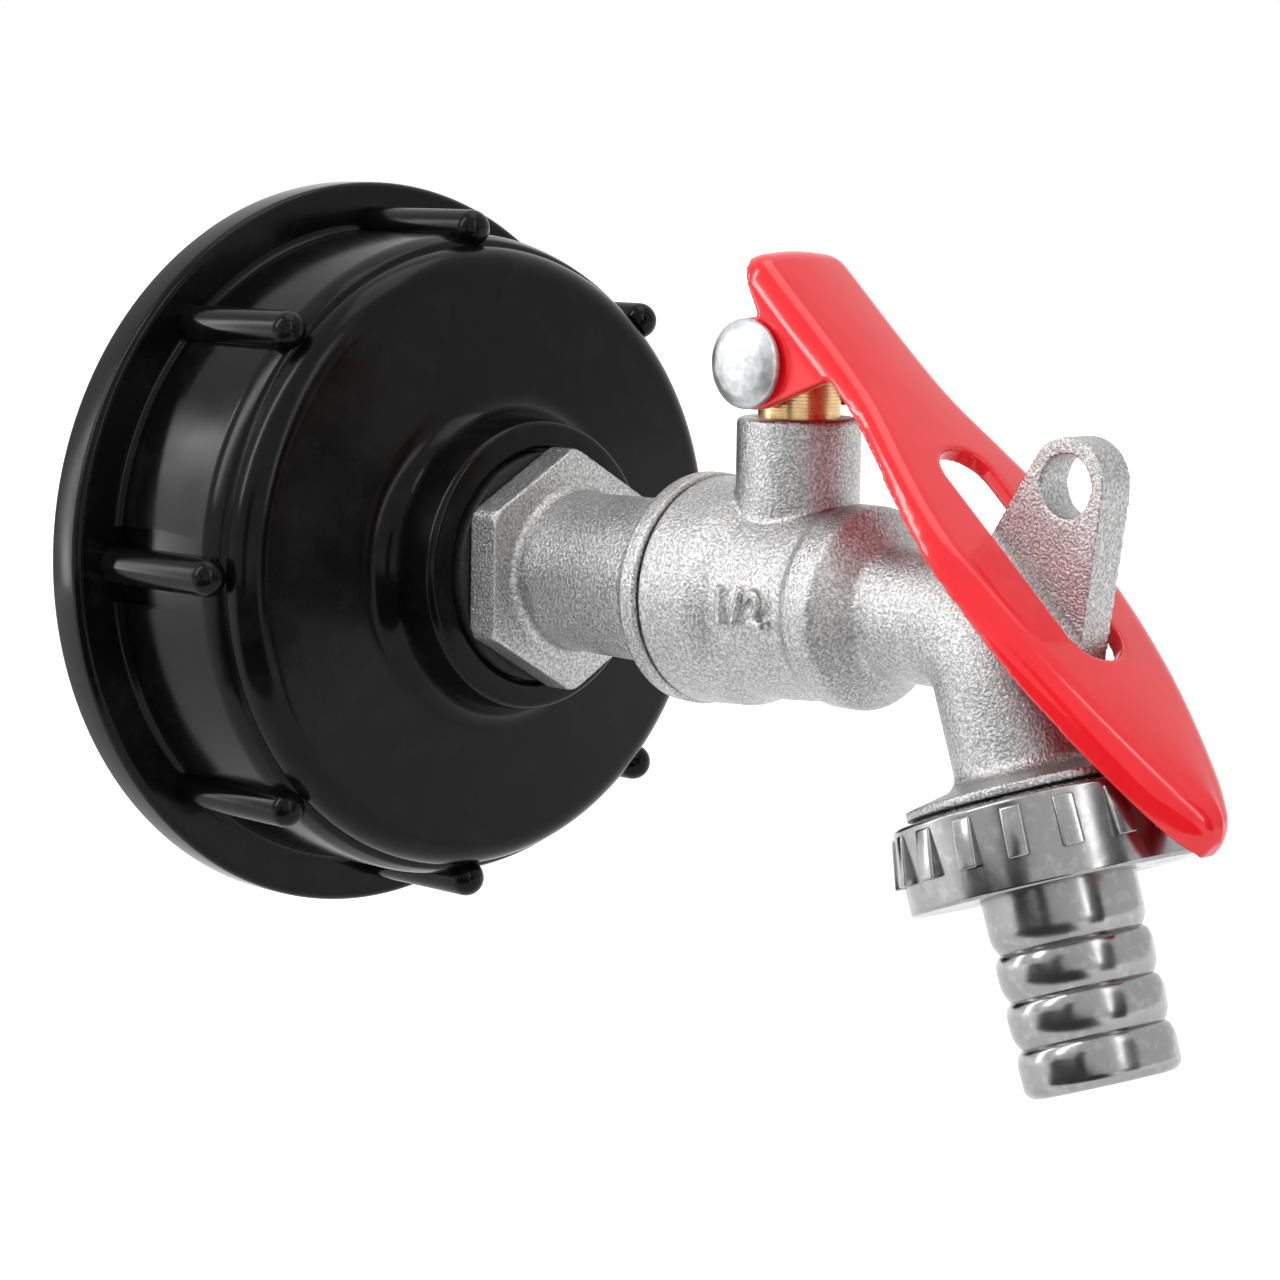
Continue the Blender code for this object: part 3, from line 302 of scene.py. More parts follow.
# %% The smudge
smudge_group, given, result = new_group(
    "handling_smudge", ["Vector", "Scale", "Low", "High"], ["Value"]
)
noise = add_node(smudge_group, "ShaderNodeTexNoise", {"Detail": 5})
spread = add_node(smudge_group, "ShaderNodeMapRange", {"From Min": 0.35, "From Max": 0.65})
link(
    smudge_group,
    (given.outputs["Vector"], noise.inputs["Vector"]),
    (given.outputs["Scale"], noise.inputs["Scale"]),
    (noise.outputs["Fac"], spread.inputs["Value"]),
    (given.outputs["Low"], spread.inputs["To Min"]),
    (given.outputs["High"], spread.inputs["To Max"]),
    (spread.outputs["Result"], result.inputs["Value"]),
)
print("group", smudge_group.name, "has", len(smudge_group.nodes), "nodes")

# %% [markdown]
# A finish starts as a Principled shader with its constant values on its own sockets. The
# groups are then wired to its colour, its roughness and its normal. A Mix node keeps one
# set of sockets for each kind of value, so its colour sockets are picked by number.

# %% A material and its usual nodes
MIX_FIRST, MIX_SECOND, MIX_RESULT = 6, 7, 2


class Finish:
    """A material being built: its node tree, its shader and its coordinates."""

    def __init__(self, name, values):
        self.material = bpy.data.materials.new(name)
        self.material.use_nodes = True
        self.tree = self.material.node_tree
        self.shader = self.tree.nodes["Principled BSDF"]
        for key, value in values.items():
            self.shader.inputs[key].default_value = value
        self.place = add_node(self.tree, "ShaderNodeTexCoord").outputs["Object"]
        print("material", name)

    def group(self, group, **values):
        """Add a node group that reads the piece's own coordinates."""
        node = add_node(self.tree, "ShaderNodeGroup", values, node_tree=group)
        link(self.tree, (self.place, node.inputs["Vector"]))
        return node

    def smudged_roughness(self, scale, low, high):
        """Let the roughness wander between two values."""
        node = self.group(smudge_group, Scale=scale, Low=low, High=high)
        link(self.tree, (node.outputs["Value"], self.shader.inputs["Roughness"]))

    def colours(self, factor, first, second):
        """Blend two colours by a mask into the base colour."""
        ends = {MIX_FIRST: (*first, 1), MIX_SECOND: (*second, 1)}
        mix = add_node(self.tree, "ShaderNodeMix", ends, data_type="RGBA")
        link(
            self.tree,
            (factor, mix.inputs["Factor"]),
            (mix.outputs[MIX_RESULT], self.shader.inputs["Base Color"]),
        )

    def bump(self, height, strength, distance, under=None):
        """Bend the normal by a height, on top of another bump where one is given."""
        values = {"Strength": strength, "Distance": distance}
        node = add_node(self.tree, "ShaderNodeBump", values)
        link(
            self.tree,
            (height, node.inputs["Height"]),
            (node.outputs["Normal"], self.shader.inputs["Normal"]),
        )
        if under is not None:
            link(self.tree, (under, node.inputs["Normal"]))
        return node.outputs["Normal"]


METAL = {"Metallic": 1.0}

# %% [markdown]
# The nickel-plated casting sparkles: its sand-blasted skin has grains of a third of a
# millimetre that each catch the light. A darker colour alone would look like paint, so
# the grain drives the bump and also the colour, over slow waves from the casting.

# %% Nickel-plated casting
nickel = Finish("nickel_casting", METAL)
grain = nickel.group(grain_group, Scale=3400, Peak=0.4)
nickel.colours(grain.outputs["Peaks"], (0.3, 0.3, 0.3), (0.74, 0.74, 0.74))
nickel.smudged_roughness(180, 0.27, 0.38)
coarse = nickel.group(grain_group, Scale=420, Peak=0.5)
waves = nickel.bump(coarse.outputs["Height"], 0.25, 0.25 * MM)
nickel.bump(grain.outputs["Height"], 0.9, 0.16 * MM, waves)

# %% [markdown]
# Chrome on the hose union is a soft mirror with a few smudges. The brass stem keeps fine
# rings from the lathe, which a Wave texture gives along the stem's own axis. The
# aluminium rivet is duller, with small dints from the riveting tool.

# %% Chrome
chrome = Finish("polished_chrome", METAL)
haze = chrome.group(grain_group, Scale=900, Peak=0.5)
chrome.colours(haze.outputs["Peaks"], (0.3, 0.3, 0.3), (0.4, 0.4, 0.4))
chrome.smudged_roughness(260, 0.17, 0.26)
slow = chrome.group(grain_group, Scale=300, Peak=0.5)
chrome.bump(slow.outputs["Height"], 0.12, 0.12 * MM)

# %% Brass
brass = Finish("turned_brass", METAL)
tarnish = brass.group(grain_group, Scale=500, Peak=0.4)
brass.colours(tarnish.outputs["Peaks"], (0.62, 0.42, 0.2), (0.78, 0.58, 0.32))
brass.smudged_roughness(400, 0.18, 0.34)
rings = add_node(brass.tree, "ShaderNodeTexWave", {"Scale": 900}, bands_direction="Z")
link(brass.tree, (brass.place, rings.inputs["Vector"]))
brass.bump(rings.outputs["Fac"], 0.2, 0.03 * MM)

# %% Aluminium
aluminium = Finish("dull_aluminium", METAL)
dints = aluminium.group(grain_group, Scale=1100, Peak=0.42)
aluminium.colours(dints.outputs["Peaks"], (0.5, 0.505, 0.51), (0.72, 0.725, 0.73))
aluminium.smudged_roughness(600, 0.36, 0.52)
aluminium.bump(dints.outputs["Height"], 0.3, 0.08 * MM)

# %% [markdown]
# The cap is glossy black polypropylene. Moulded plastic is never quite flat, so a slow
# bump bends its reflections, and faint scuffs make the gloss uneven. The gaskets are
# matt rubber and the ball's seats are milky white plastic, both hardly seen.

# %% Black plastic
plastic = Finish("black_plastic", {"Specular IOR Level": 0.13})
dust = plastic.group(grain_group, Scale=240, Peak=0.5)
plastic.colours(dust.outputs["Peaks"], (0.003, 0.003, 0.0033), (0.008, 0.008, 0.0085))
plastic.smudged_roughness(70, 0.12, 0.22)
sink = plastic.group(grain_group, Scale=45, Peak=0.5)
sink_bump = plastic.bump(sink.outputs["Height"], 0.15, 0.5 * MM)
plastic.bump(dust.outputs["Height"], 0.06, 0.05 * MM, sink_bump)

# %% Rubber and white seats
rubber = Finish("black_rubber", {})
speck = rubber.group(grain_group, Scale=1500, Peak=0.5)
rubber.colours(speck.outputs["Peaks"], (0.012, 0.012, 0.012), (0.03, 0.03, 0.03))
rubber.smudged_roughness(300, 0.55, 0.75)
rubber.bump(speck.outputs["Height"], 0.3, 0.05 * MM)

white = Finish("white_seat", {})
milk = white.group(grain_group, Scale=700, Peak=0.5)
white.colours(milk.outputs["Peaks"], (0.78, 0.78, 0.76), (0.86, 0.86, 0.84))
white.smudged_roughness(300, 0.4, 0.55)

# %% [markdown]
# The handle is dipped in red plastic. A clear coat on the shader gives the wet gloss, a
# weak bump gives the slight orange peel, and the red varies a little as the coat does.

# %% Red coating
red = Finish(
    "red_coating",
    {"Specular IOR Level": 0.3, "Coat Weight": 0.5, "Coat Roughness": 0.13},
)
peel = red.group(grain_group, Scale=160, Peak=0.4)
red.colours(peel.outputs["Peaks"], (0.93, 0.006, 0.014), (0.98, 0.012, 0.022))
red.smudged_roughness(140, 0.14, 0.22)
red.bump(peel.outputs["Height"], 0.12, 0.15 * MM)


# %% Hand a finished piece to its body
def dress(piece, finish, body, nodes):
    """Give a piece its finish, its body and the nodes it replaces."""
    piece.data.materials.clear()
    piece.data.materials.append(finish.material)
    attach(piece, body)
    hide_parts(*nodes)
    print(piece.name, "rides on", body)


# %% [markdown]
# ## The cap
#
# On the real object this is one moulding: a flat rim, a threaded skirt with a small step
# at its shoulder, a crowned face and a boss that holds the tap. It could be extruded ring
# by ring, but a spun outline keeps every radius in one list. One shallow pocket is cut
# round the foot of a grip, as the mould left it.

# %% Cap, spun
RIM_RADIUS = 40
RIM_DEPTH = 4.9
SKIRT_RADIUS = 34.8
SKIRT_BORE = 30.4
cap_corners = [
    (0, SKIRT_BORE, 0.9),  # the rim
    (0, RIM_RADIUS, 0.9),
    (RIM_DEPTH, RIM_RADIUS, 0.9),
    (RIM_DEPTH, SKIRT_RADIUS, 0.9),  # the skirt
    (19.8, SKIRT_RADIUS, 3.0),  # the shoulder and its step
    (21.6, 34.1, 0.9),
    (21.9, 33.5, 0),
    (25.1, 33.5, 3.7),  # the crowned face
    (25.8, 16.2, 3.3),
    (32.6, 15.3, 0.9),  # the boss
    (33.2, 12.45, 0.45),
    (31.2, 12.45, 0),  # the seat of the washer
    (31.2, 10.65, 0),  # the hole for the connector
    (16.2, 10.65, 0),
    (16.2, 14.6, 0.5),  # the inside, back to the thread
    (21.0, 14.6, 0),
    (21.0, SKIRT_BORE, 0.6),
]
cap = turned("cap_moulding", cap_corners, 180)
report(cap)


def box(name, low, high):
    """A box between two corners in millimetres, which serves as a cutter."""
    size = [(b - a) * MM for a, b in zip(low, high)]
    centre = [(a + b) / 2 * MM for a, b in zip(low, high)]
    deselect()
    bpy.ops.mesh.primitive_cube_add(size=1, location=centre, scale=size)
    bpy.context.object.name = name
    return settle(bpy.context.object)


combine(cap, box("pocket", (RIM_DEPTH, -36, -4), (10.0, -33.7, 4)), "DIFFERENCE")

# %% [markdown]
# The grips are eight bars with round noses, half sunk in the skirt. One is turned like a
# little rod, and copies of it go round the cap.

# %% Cap, grips
RIB_COUNT = 8
RIB_STEPS = 32
RIB_CENTRE_RADIUS = 35.3
rib_corners = [(2.4, 0, 0), (2.4, 2.0, 0), (23.0, 2.0, 2.0), (23.0, 0, 0)]
rib = turned("rib", rib_corners, RIB_STEPS, closed=False)
for number in range(RIB_COUNT):
    around = about("X", math.tau * number / RIB_COUNT)
    combine(cap, copied(rib, around @ shift(0, 0, RIB_CENTRE_RADIUS)), "UNION")
bpy.data.objects.remove(rib)
report(cap)

# %% [markdown]
# Inside the skirt runs the coarse thread that grips the container's outlet. It is one
# ridge with sloping flanks, wound twice round the axis. Spin would only close a ring, so
# a Screw modifier carries the small outline round and along at once.

# %% Cap, thread inside the skirt
THREAD_PITCH = 6.0
THREAD_START_X = 4.0
THREAD_TURNS = 2
THREAD_STEPS = 96
ROOT, CREST = SKIRT_BORE + 0.6, SKIRT_BORE - 1.2
ridge = [(-1.6, ROOT), (-0.5, CREST), (0.5, CREST), (1.6, ROOT)]
ridge_points = [mm(THREAD_START_X + along, 0, radius) for along, radius in ridge]
thread = draw("thread", ridge_points + ridge_points[:1])
bpy.ops.object.mode_set(mode="OBJECT")
apply_modifier(
    thread,
    "SCREW",
    axis="X",
    screw_offset=THREAD_PITCH * MM,
    iterations=THREAD_TURNS,
    steps=THREAD_STEPS,
    render_steps=THREAD_STEPS,
    use_merge_vertices=False,
)
bpy.ops.object.mode_set(mode="EDIT")
bpy.ops.mesh.select_all(action="SELECT")
bpy.ops.mesh.fill_holes(sides=0)
close_up()
combine(cap, thread, "UNION")
smooth(cap)
dress(cap, plastic, "valve", ["tank_cap"])

# %% [markdown]
# ## Castings and dipped coats
#
# A casting has no sharp corners, because the sand or the die rounds them. A Bevel would
# have to find every seam between its parts. Instead the overlapping solids are joined and
# remeshed with small voxels, which fuses them into one skin, and the skin is relaxed a
# little. The same recipe gives the dipped look of a coated handle. Where the voxels give
# too many faces for one piece, a Decimate takes the spare ones out.

# %% Fusing
MOST_QUADS = 92_000


def fuse(obj, voxel, passes):
    """Fuse overlapping solids into one soft skin, with voxels in millimetres."""
    apply_modifier(obj, "REMESH", mode="VOXEL", voxel_size=voxel * MM)
    apply_modifier(obj, "SMOOTH", factor=0.5, iterations=passes)
    quads = len(obj.data.polygons)
    if quads > MOST_QUADS:
        apply_modifier(obj, "DECIMATE", ratio=MOST_QUADS / quads)
    only(obj)
    bpy.ops.object.shade_smooth()
    report(obj)


# %% [markdown]
# ## The inlet connector
#
# It is cast in one piece: a hexagon for the spanner, a neck and a disc that screws into
# the valve. The hexagon is a six-sided cylinder whose corners are taken off by a turned
# disc, as a lathe does it. It stands with a corner at the top, so it is turned by half
# of a side's angle. The pieces are fused, so that every edge is as soft as on the
# casting.

# %% Inlet connector, hexagon
HEXAGON_HALF = 11.2
HALF_SIDE_ANGLE = math.pi / 6
QUARTER_TURN = math.pi / 2
deselect()
bpy.ops.mesh.primitive_cylinder_add(
    vertices=6,
    radius=HEXAGON_HALF * MM / math.cos(HALF_SIDE_ANGLE),
    depth=3.8 * MM,
    location=mm(36.1, 0, 0),
    rotation=(0, QUARTER_TURN, 0),
)
hexagon = settle(bpy.context.object)
settle(hexagon, about("X", HALF_SIDE_ANGLE))
corners_off = turned(
    "corners_off",
    [(34.0, 0, 0), (34.0, 12.75, 0.5), (38.2, 12.75, 0.8), (38.2, 0, 0)],
    96,
    closed=False,
)
combine(hexagon, corners_off, "INTERSECT")
report(hexagon)

# %% Inlet connector, neck and disc
BODY_STEPS = 128
VOXEL = 0.2
neck = turned(
    "neck",
    [
        (15.6, 4.9, 0),  # the threaded end inside the cap
        (15.6, 10.35, 0.9),
        (35.0, 10.35, 0),
        (37.9, 9.4, 0),  # the neck, from inside the hexagon
        (38.0, 8.26, 1.1),
        (54.0, 8.5, 1.3),
        (57.2, 11.75, 0.35),  # the disc
        (59.2, 11.75, 0.35),
        (59.2, 4.9, 0),
    ],
    BODY_STEPS,
)
connector = join("inlet_casting", [neck, hexagon])
fuse(connector, VOXEL, passes=3)
dress(connector, nickel, "valve", ["inlet_connector"])

# %% [markdown]
# ## The valve body
#
# The stem stands upright on the cap's axis, the rivet crosses the stem, and the spout's
# leg leans forwards. Each axis gets one matrix, so that a piece can be turned on the X
# axis and then carried to its place.

# %% Axes
STEM_X = 70.3
RIVET_Z = 23.4
SPOUT_X = 96.6
SPOUT_TURN = math.radians(70.6)
UP = shift(STEM_X, 0, 0) @ about("Y", -QUARTER_TURN)
ACROSS = about("Z", QUARTER_TURN)
AT_RIVET = shift(STEM_X, 0, RIVET_Z) @ ACROSS
DOWN_SPOUT = shift(SPOUT_X, 0, 0) @ about("Y", SPOUT_TURN)
print("the spout leans", round(90 - math.degrees(SPOUT_TURN), 1), "degrees forwards")

# %% [markdown]
# The ball chamber, the ring and the spout's level part are one turned shape. The leg is
# turned again, with its collar and threaded end, and so is the bonnet, which stands on
# top with a bore for the stem. They overlap, because the fusing closes their seams.

# %% Valve body, turned pieces
chamber = turned(
    "chamber",
    [
        (59.5, 0, 0),
        (59.5, 11.5, 0.35),  # the ball chamber
        (65.6, 11.2, 1.3),
        (67.1, 10.7, 0.5),
        (68.4, 10.2, 1.3),
        (77.1, 9.6, 0.5),
        (78.2, 10.0, 0.5),  # the ring
        (81.2, 10.0, 1.3),
        (84.3, 6.7, 1.4),  # the level part of the spout
        (91.2, 6.7, 0),
        (91.2, 0, 0),
    ],
    BODY_STEPS,
    closed=False,
)
leg = turned(
    "leg",
    [
        (5.2, 0, 0),
        (5.2, 7.2, 0),
        (14.3, 7.2, 1.6),
        (15.5, 12.4, 0),  # the collar
        (16.4, 12.4, 0),
        (16.4, 11.6, 0),  # the threaded end
        (20, 11.6, 0),
        (20, 4.9, 0),  # the bore
        (9, 4.9, 0),
        (9, 0, 0),
    ],
    BODY_STEPS,
    DOWN_SPOUT,
    closed=False,
)
bonnet = turned(
    "bonnet",
    [(0, 0, 0), (0, 6.15, 0), (18, 6.15, 0.6), (18, 4.35, 0.2), (14, 4.35, 0), (14, 0, 0)],
    96,
    UP,
    closed=False,
)
for piece in (chamber, leg, bonnet):
    report(piece)

# %% [markdown]
# The elbow grows slightly from the level tube to the leg. A filled circle is spun about
# the bend's pivot, and then each of its rings is widened by its share of the turn. A
# curve with a bevel could do it too, but it would pinch on the inside of so tight a bend.

# %% Valve body, elbow
BEND = 8.0
LEVEL_RADIUS, LEG_RADIUS = 6.7, 7.2
pivot = mm(SPOUT_X - BEND * math.tan(SPOUT_TURN / 2), 0, -BEND)
deselect()
bpy.ops.mesh.primitive_circle_add(
    vertices=96,
    radius=LEVEL_RADIUS * MM,
    fill_type="NGON",
    location=(pivot.x, 0, 0),
    rotation=(0, QUARTER_TURN, 0),
)
elbow = settle(bpy.context.object)
elbow.name = "elbow"
bpy.ops.object.mode_set(mode="EDIT")
bpy.ops.mesh.select_all(action="SELECT")
bpy.ops.mesh.spin(steps=32, angle=SPOUT_TURN, center=pivot, axis=(0, -1, 0))
close_up()
for vertex in elbow.data.vertices:
    turn = math.atan2(vertex.co.x - pivot.x, vertex.co.z - pivot.z)
    centre = pivot + Vector((math.sin(turn), 0, math.cos(turn))) * BEND * MM
    share = min(max(turn / SPOUT_TURN, 0), 1)
    grown = 1 + share * (LEG_RADIUS / LEVEL_RADIUS - 1)
    vertex.co = centre + (vertex.co - centre) * grown
report(elbow)

# %% [markdown]
# The padlock lug is a flat plate cast onto the elbow. When the handle is down, the lug
# stands up through the handle's slot, and a padlock through its hole keeps the valve
# shut. Its outline is a round head with two straight flanks that touch it smoothly.

# %% Valve body, padlock lug
LUG_HEAD = Vector((106.1, 13.8))
LUG_RADIUS = 4.5
LUG_HALF = 2.0
LUG_HOLE_RADIUS = 2.95


def tangent(root, side):
    """The angle on the lug's head where a straight flank from the root touches it."""
    reach = Vector(root) - LUG_HEAD
    return math.atan2(reach.y, reach.x) + side * math.acos(LUG_RADIUS / reach.length)


lug_roots = [(93.2, 2.6), (99.4, -8.6), (107.3, -8.6)]
lug_start = tangent(lug_roots[2], 1)
lug_turn = tangent(lug_roots[0], -1) % math.tau - lug_start
lug_head = [point[:] for point in arc(LUG_HEAD, LUG_RADIUS, lug_start, lug_turn, 32)]
lug_points = [mm(x, -LUG_HALF, z) for x, z in lug_roots + lug_head]
lug = plate("lug", lug_points, mm(0, 2 * LUG_HALF, 0))
hole = turned(
    "hole",
    [(-4, 0, 0), (-4, LUG_HOLE_RADIUS, 0), (4, LUG_HOLE_RADIUS, 0), (4, 0, 0)],
    64,
    shift(LUG_HEAD.x, 0, LUG_HEAD.y) @ ACROSS,
    closed=False,
)
combine(lug, hole, "DIFFERENCE")
report(lug)

# %% [markdown]
# The thread size is cast on the side, in plain raised numbers. Text is a curve, so it is
# given a depth, made a mesh and stood against the casting before everything is fused.

# %% Valve body, thread size
deselect()
bpy.ops.object.text_add(location=mm(72.1, -9.4, -0.2), rotation=(QUARTER_TURN, 0, 0))
size_text = bpy.context.object
size_text.data.body = "1/2"
size_text.data.size = 4.9 * MM
size_text.data.space_character = 1.15
size_text.data.extrude = 1.15 * MM
size_text.data.offset = 0.2 * MM
size_text.data.align_x = "CENTER"
size_text.data.align_y = "CENTER"
only(size_text)
bpy.ops.object.convert(target="MESH")
report(settle(size_text))

# %% Valve body, fused
body = join("tap_casting", [chamber, leg, bonnet, elbow, lug, size_text])
fuse(body, VOXEL, passes=4)
dress(body, nickel, "valve", ["valve_body"])

# %% [markdown]
# ## Stem and rivet
#
# Between the handle's ears only a short piece of the brass stem shows. It is turned from
# a bar and gets two flats for the ears, so here it is turned and shaved the same way.

# %% Stem
stem = turned(
    "stem_head",
    [
        (5.8, 0, 0),  # the tang in the ball
        (5.8, 1.2, 0),
        (8.3, 1.2, 0),
        (8.3, 5.0, 0),  # the shoulder under the bonnet
        (9.7, 5.0, 0),
        (9.7, 4.08, 0),  # the shank
        (26.5, 4.08, 0.8),
        (26.5, 0, 0),
    ],
    96,
    UP,
    closed=False,
)
for side in (-1, 1):
    flat = box("flat", (64, side * 5.75 - 2, 19.6), (77, side * 5.75 + 2, 28))
    combine(stem, flat, "DIFFERENCE")
smooth(stem)
dress(stem, brass, "stem_set", ["stem"])

# %% [markdown]
# The rivet goes through the ears and the stem. The same low dome ends it on both sides,
# so half of the outline is written and the other half is its mirror image.

# %% Rivet
HEAD_FOOT = 7.2
right_half = [
    (HEAD_FOOT, 4.4, 0.3),  # the rim of the head
    (7.95, 4.4, 0.5),
    (8.75, 3.2, 1.6),  # the dome
    (9.1, 1.5, 2.0),
    (9.1, 0, 0),
]
left_half = [(-along, radius, rounding) for along, radius, rounding in reversed(right_half)]
shank = [(-HEAD_FOOT, 2.0, 0), (HEAD_FOOT, 2.0, 0)]
rivet_corners = left_half + shank + right_half
rivet = turned("rivet_heads", rivet_corners, 96, AT_RIVET, closed=False)
smooth(rivet)
dress(rivet, aluminium, "handle_set", ["handle_rivet"])

# %% [markdown]
# ## The handle
#
# A sheet is pressed into a leaf-shaped channel. It is easiest to draw flat, as a row of
# cross-sections with a skin stretched over them: up one wall, over a rounded bend, and
# mirrored down the other. A thinner row of sections hollows it from below, a side view
# of the walls cuts their lower edges and the round ears, and a slot lets the lug through.

# %% Handle, outline
HANDLE_LENGTH = 75.5
half_widths = [
    (0, 4.62), (0.83, 5.83), (2.49, 6.77), (4.3, 6.9), (15.1, 6.9), (21.9, 7.37),
    (28.0, 8.86), (34.0, 10.27), (40.0, 10.95), (46.1, 10.4), (52.0, 9.72), (58.0, 8.56),
    (64.0, 6.85), (70.0, 4.7), (73.0, 3.19), (74.5, 2.09), (75.5, 0.88),
]


def half_width(along):
    """The leaf's half width, smoothed through the table."""
    index = 0
    while index < len(half_widths) - 2 and along > half_widths[index + 1][0]:
        index += 1
    before = half_widths[max(index - 1, 0)]
    start, end = half_widths[index], half_widths[index + 1]
    after = half_widths[min(index + 2, len(half_widths) - 1)]
    span = end[0] - start[0]
    t = (along - start[0]) / span
    rise_in = (end[1] - before[1]) / (end[0] - before[0]) * span
    rise_out = (after[1] - start[1]) / (after[0] - start[0]) * span
    return (
        (2 * t**3 - 3 * t**2 + 1) * start[1]
        + (t**3 - 2 * t**2 + t) * rise_in
        + (3 * t**2 - 2 * t**3) * end[1]
        + (t**3 - t**2) * rise_out
    )


# %% Handle, sections
WALL = 1.8
FOOT = 14.0
BEND_RADIUS = 2.8
BEND_STEPS = 8
END_SHARE = 0.95
CROWN = 0.25


def outer_section(along):
    """The outside of the pressing at one station, with the plate slightly crowned."""
    half = half_width(along)
    bend = min(BEND_RADIUS, 0.9 * half)
    inside = max(BEND_RADIUS - along, along - HANDLE_LENGTH + BEND_RADIUS, 0) * END_SHARE
    fall = BEND_RADIUS - math.sqrt(BEND_RADIUS**2 - inside**2)
    side = [(half, -FOOT)]
    for step in range(BEND_STEPS + 1):
        angle = math.pi / 2 * step / BEND_STEPS
        height = -fall - (BEND_RADIUS - fall) * (1 - math.sin(angle))
        side.append((half - bend + bend * math.cos(angle), height - CROWN))
    flat = half - bend
    for share in (0.75, 0.5, 0.25):
        side.append((flat * share, -fall - CROWN * share**2))
    loop = side + [(0, -fall)] + [(-across, height) for across, height in reversed(side)]
    return [mm(along, across, height) for across, height in loop]


def inner_section(along):
    """The hollow under the plate at one station."""
    half = half_width(along) - WALL
    loop = [(half, -FOOT - 1), (half, -WALL), (-half, -WALL), (-half, -FOOT - 1)]
    return [mm(along, across, height) for across, height in loop]


# %% [markdown]
# The skin starts as a grid with one row of points for each section. Its points are moved
# onto the sections, the two long sides are merged and the two ends are filled. Bridging
# loose rings would give the same skin, but the operator pairs their points by itself and
# could twist it.

# %% Handle, skin
STATION_STEPS = 60


def loft(name, sections):
    """Stretch a skin over a row of closed sections that have the same number of points."""
    columns = len(sections[0])
    deselect()
    bpy.ops.mesh.primitive_grid_add(
        x_subdivisions=columns,
        y_subdivisions=len(sections) - 1,
        size=1,
    )
    obj = bpy.context.object
    obj.name = name
    for vertex in obj.data.vertices:
        row, column = divmod(vertex.index, columns + 1)
        vertex.co = sections[row][column % columns]
    bpy.ops.object.mode_set(mode="EDIT")
    bpy.ops.mesh.select_all(action="SELECT")
    bpy.ops.mesh.remove_doubles(threshold=WELD)
    bpy.ops.mesh.fill_holes(sides=0)
    close_up()
    return obj


stations = []
for step in range(STATION_STEPS + 1):
    stations.append(HANDLE_LENGTH * (1 - math.cos(math.pi * step / STATION_STEPS)) / 2)
handle = loft("coated_handle", [outer_section(along) for along in stations])
report(handle)

# %% Handle, hollow
LEAST_HOLLOW = 0.3
hollow_sections = []
for along in stations:
    if along > WALL and half_width(along) > WALL + LEAST_HOLLOW:
        hollow_sections.append(inner_section(along))
combine(handle, loft("hollow", hollow_sections), "DIFFERENCE")
report(handle)

# %% Handle, walls and ears
EAR = Vector((8.87, 8.04))
EAR_RADIUS = 4.5
wall_depths = [
    (76.5, 4.2), (62.0, 4.0), (56.0, 3.88), (50.0, 3.6), (44.0, 3.12),
    (38.0, 2.6), (32.0, 2.25), (26.0, 2.1), (17.1, 2.2),
]
end_depths = [(6.0, 3.9), (3.6, 3.0), (1.3, 2.15), (-1.0, 2.1)]
foot = Vector(wall_depths[-1]) - EAR
waist = Vector(end_depths[0]) - EAR
ear_start = math.atan2(foot.y, foot.x) + math.acos(EAR_RADIUS / foot.length)
ear_turn = math.atan2(waist.y, waist.x) + math.tau - ear_start
ear_points = [point[:] for point in arc(EAR, EAR_RADIUS, ear_start, ear_turn, 32)]
side_view = [(-1.0, -1.0), (76.5, -1.0)] + wall_depths + ear_points + end_depths
profile = plate("profile", [mm(along, -12, -depth) for along, depth in side_view], mm(0, 24, 0))
combine(handle, profile, "INTERSECT")
report(handle)

# %% Handle, slot
SLOT_HALF = 3.35
SLOT_START, SLOT_END = 28.7, 55.7
slot_ends = (
    (SLOT_END - SLOT_HALF, -QUARTER_TURN),
    (SLOT_START + SLOT_HALF, QUARTER_TURN),
)
slot_points = []
for along, start in slot_ends:
    for point in arc(Vector((along, 0)), SLOT_HALF, start, math.pi, 16):
        slot_points.append(mm(point.x, point.y, -4))
combine(handle, plate("slot", slot_points, mm(0, 0, 6)), "DIFFERENCE")
report(handle)

# %% [markdown]
# The coat softens every edge, so the pressing is fused like a casting. Once it is a fine
# even mesh, its tip is bent down slightly by moving the vertices, and only then is it
# tilted to its place above the stem.

# %% Handle, dipped and placed
COAT_VOXEL = 0.22
DROOP_START, TIP_DROP = 47.9, 0.85
HANDLE_TILT = math.radians(41.6)
fuse(handle, COAT_VOXEL, passes=5)
for vertex in handle.data.vertices:
    past = max(vertex.co.x / MM - DROOP_START, 0) / (HANDLE_LENGTH - DROOP_START)
    vertex.co.z -= TIP_DROP * past**2 * MM
settle(handle, shift(69.0, 0, 35.3) @ about("Y", HANDLE_TILT))
dress(handle, red, "handle_set", ["handle"])

# %% [markdown]
# ## The hose union
#
# The nut holds the hose tail to the spout. It is a turned sleeve with eighteen
# wedge-shaped grips that rise towards the hose. One wedge is made and bevelled, copies of
# it go round, and all are joined to the sleeve in one cut. It is chromed, so its edges
# are rounded enough to catch a line of light.

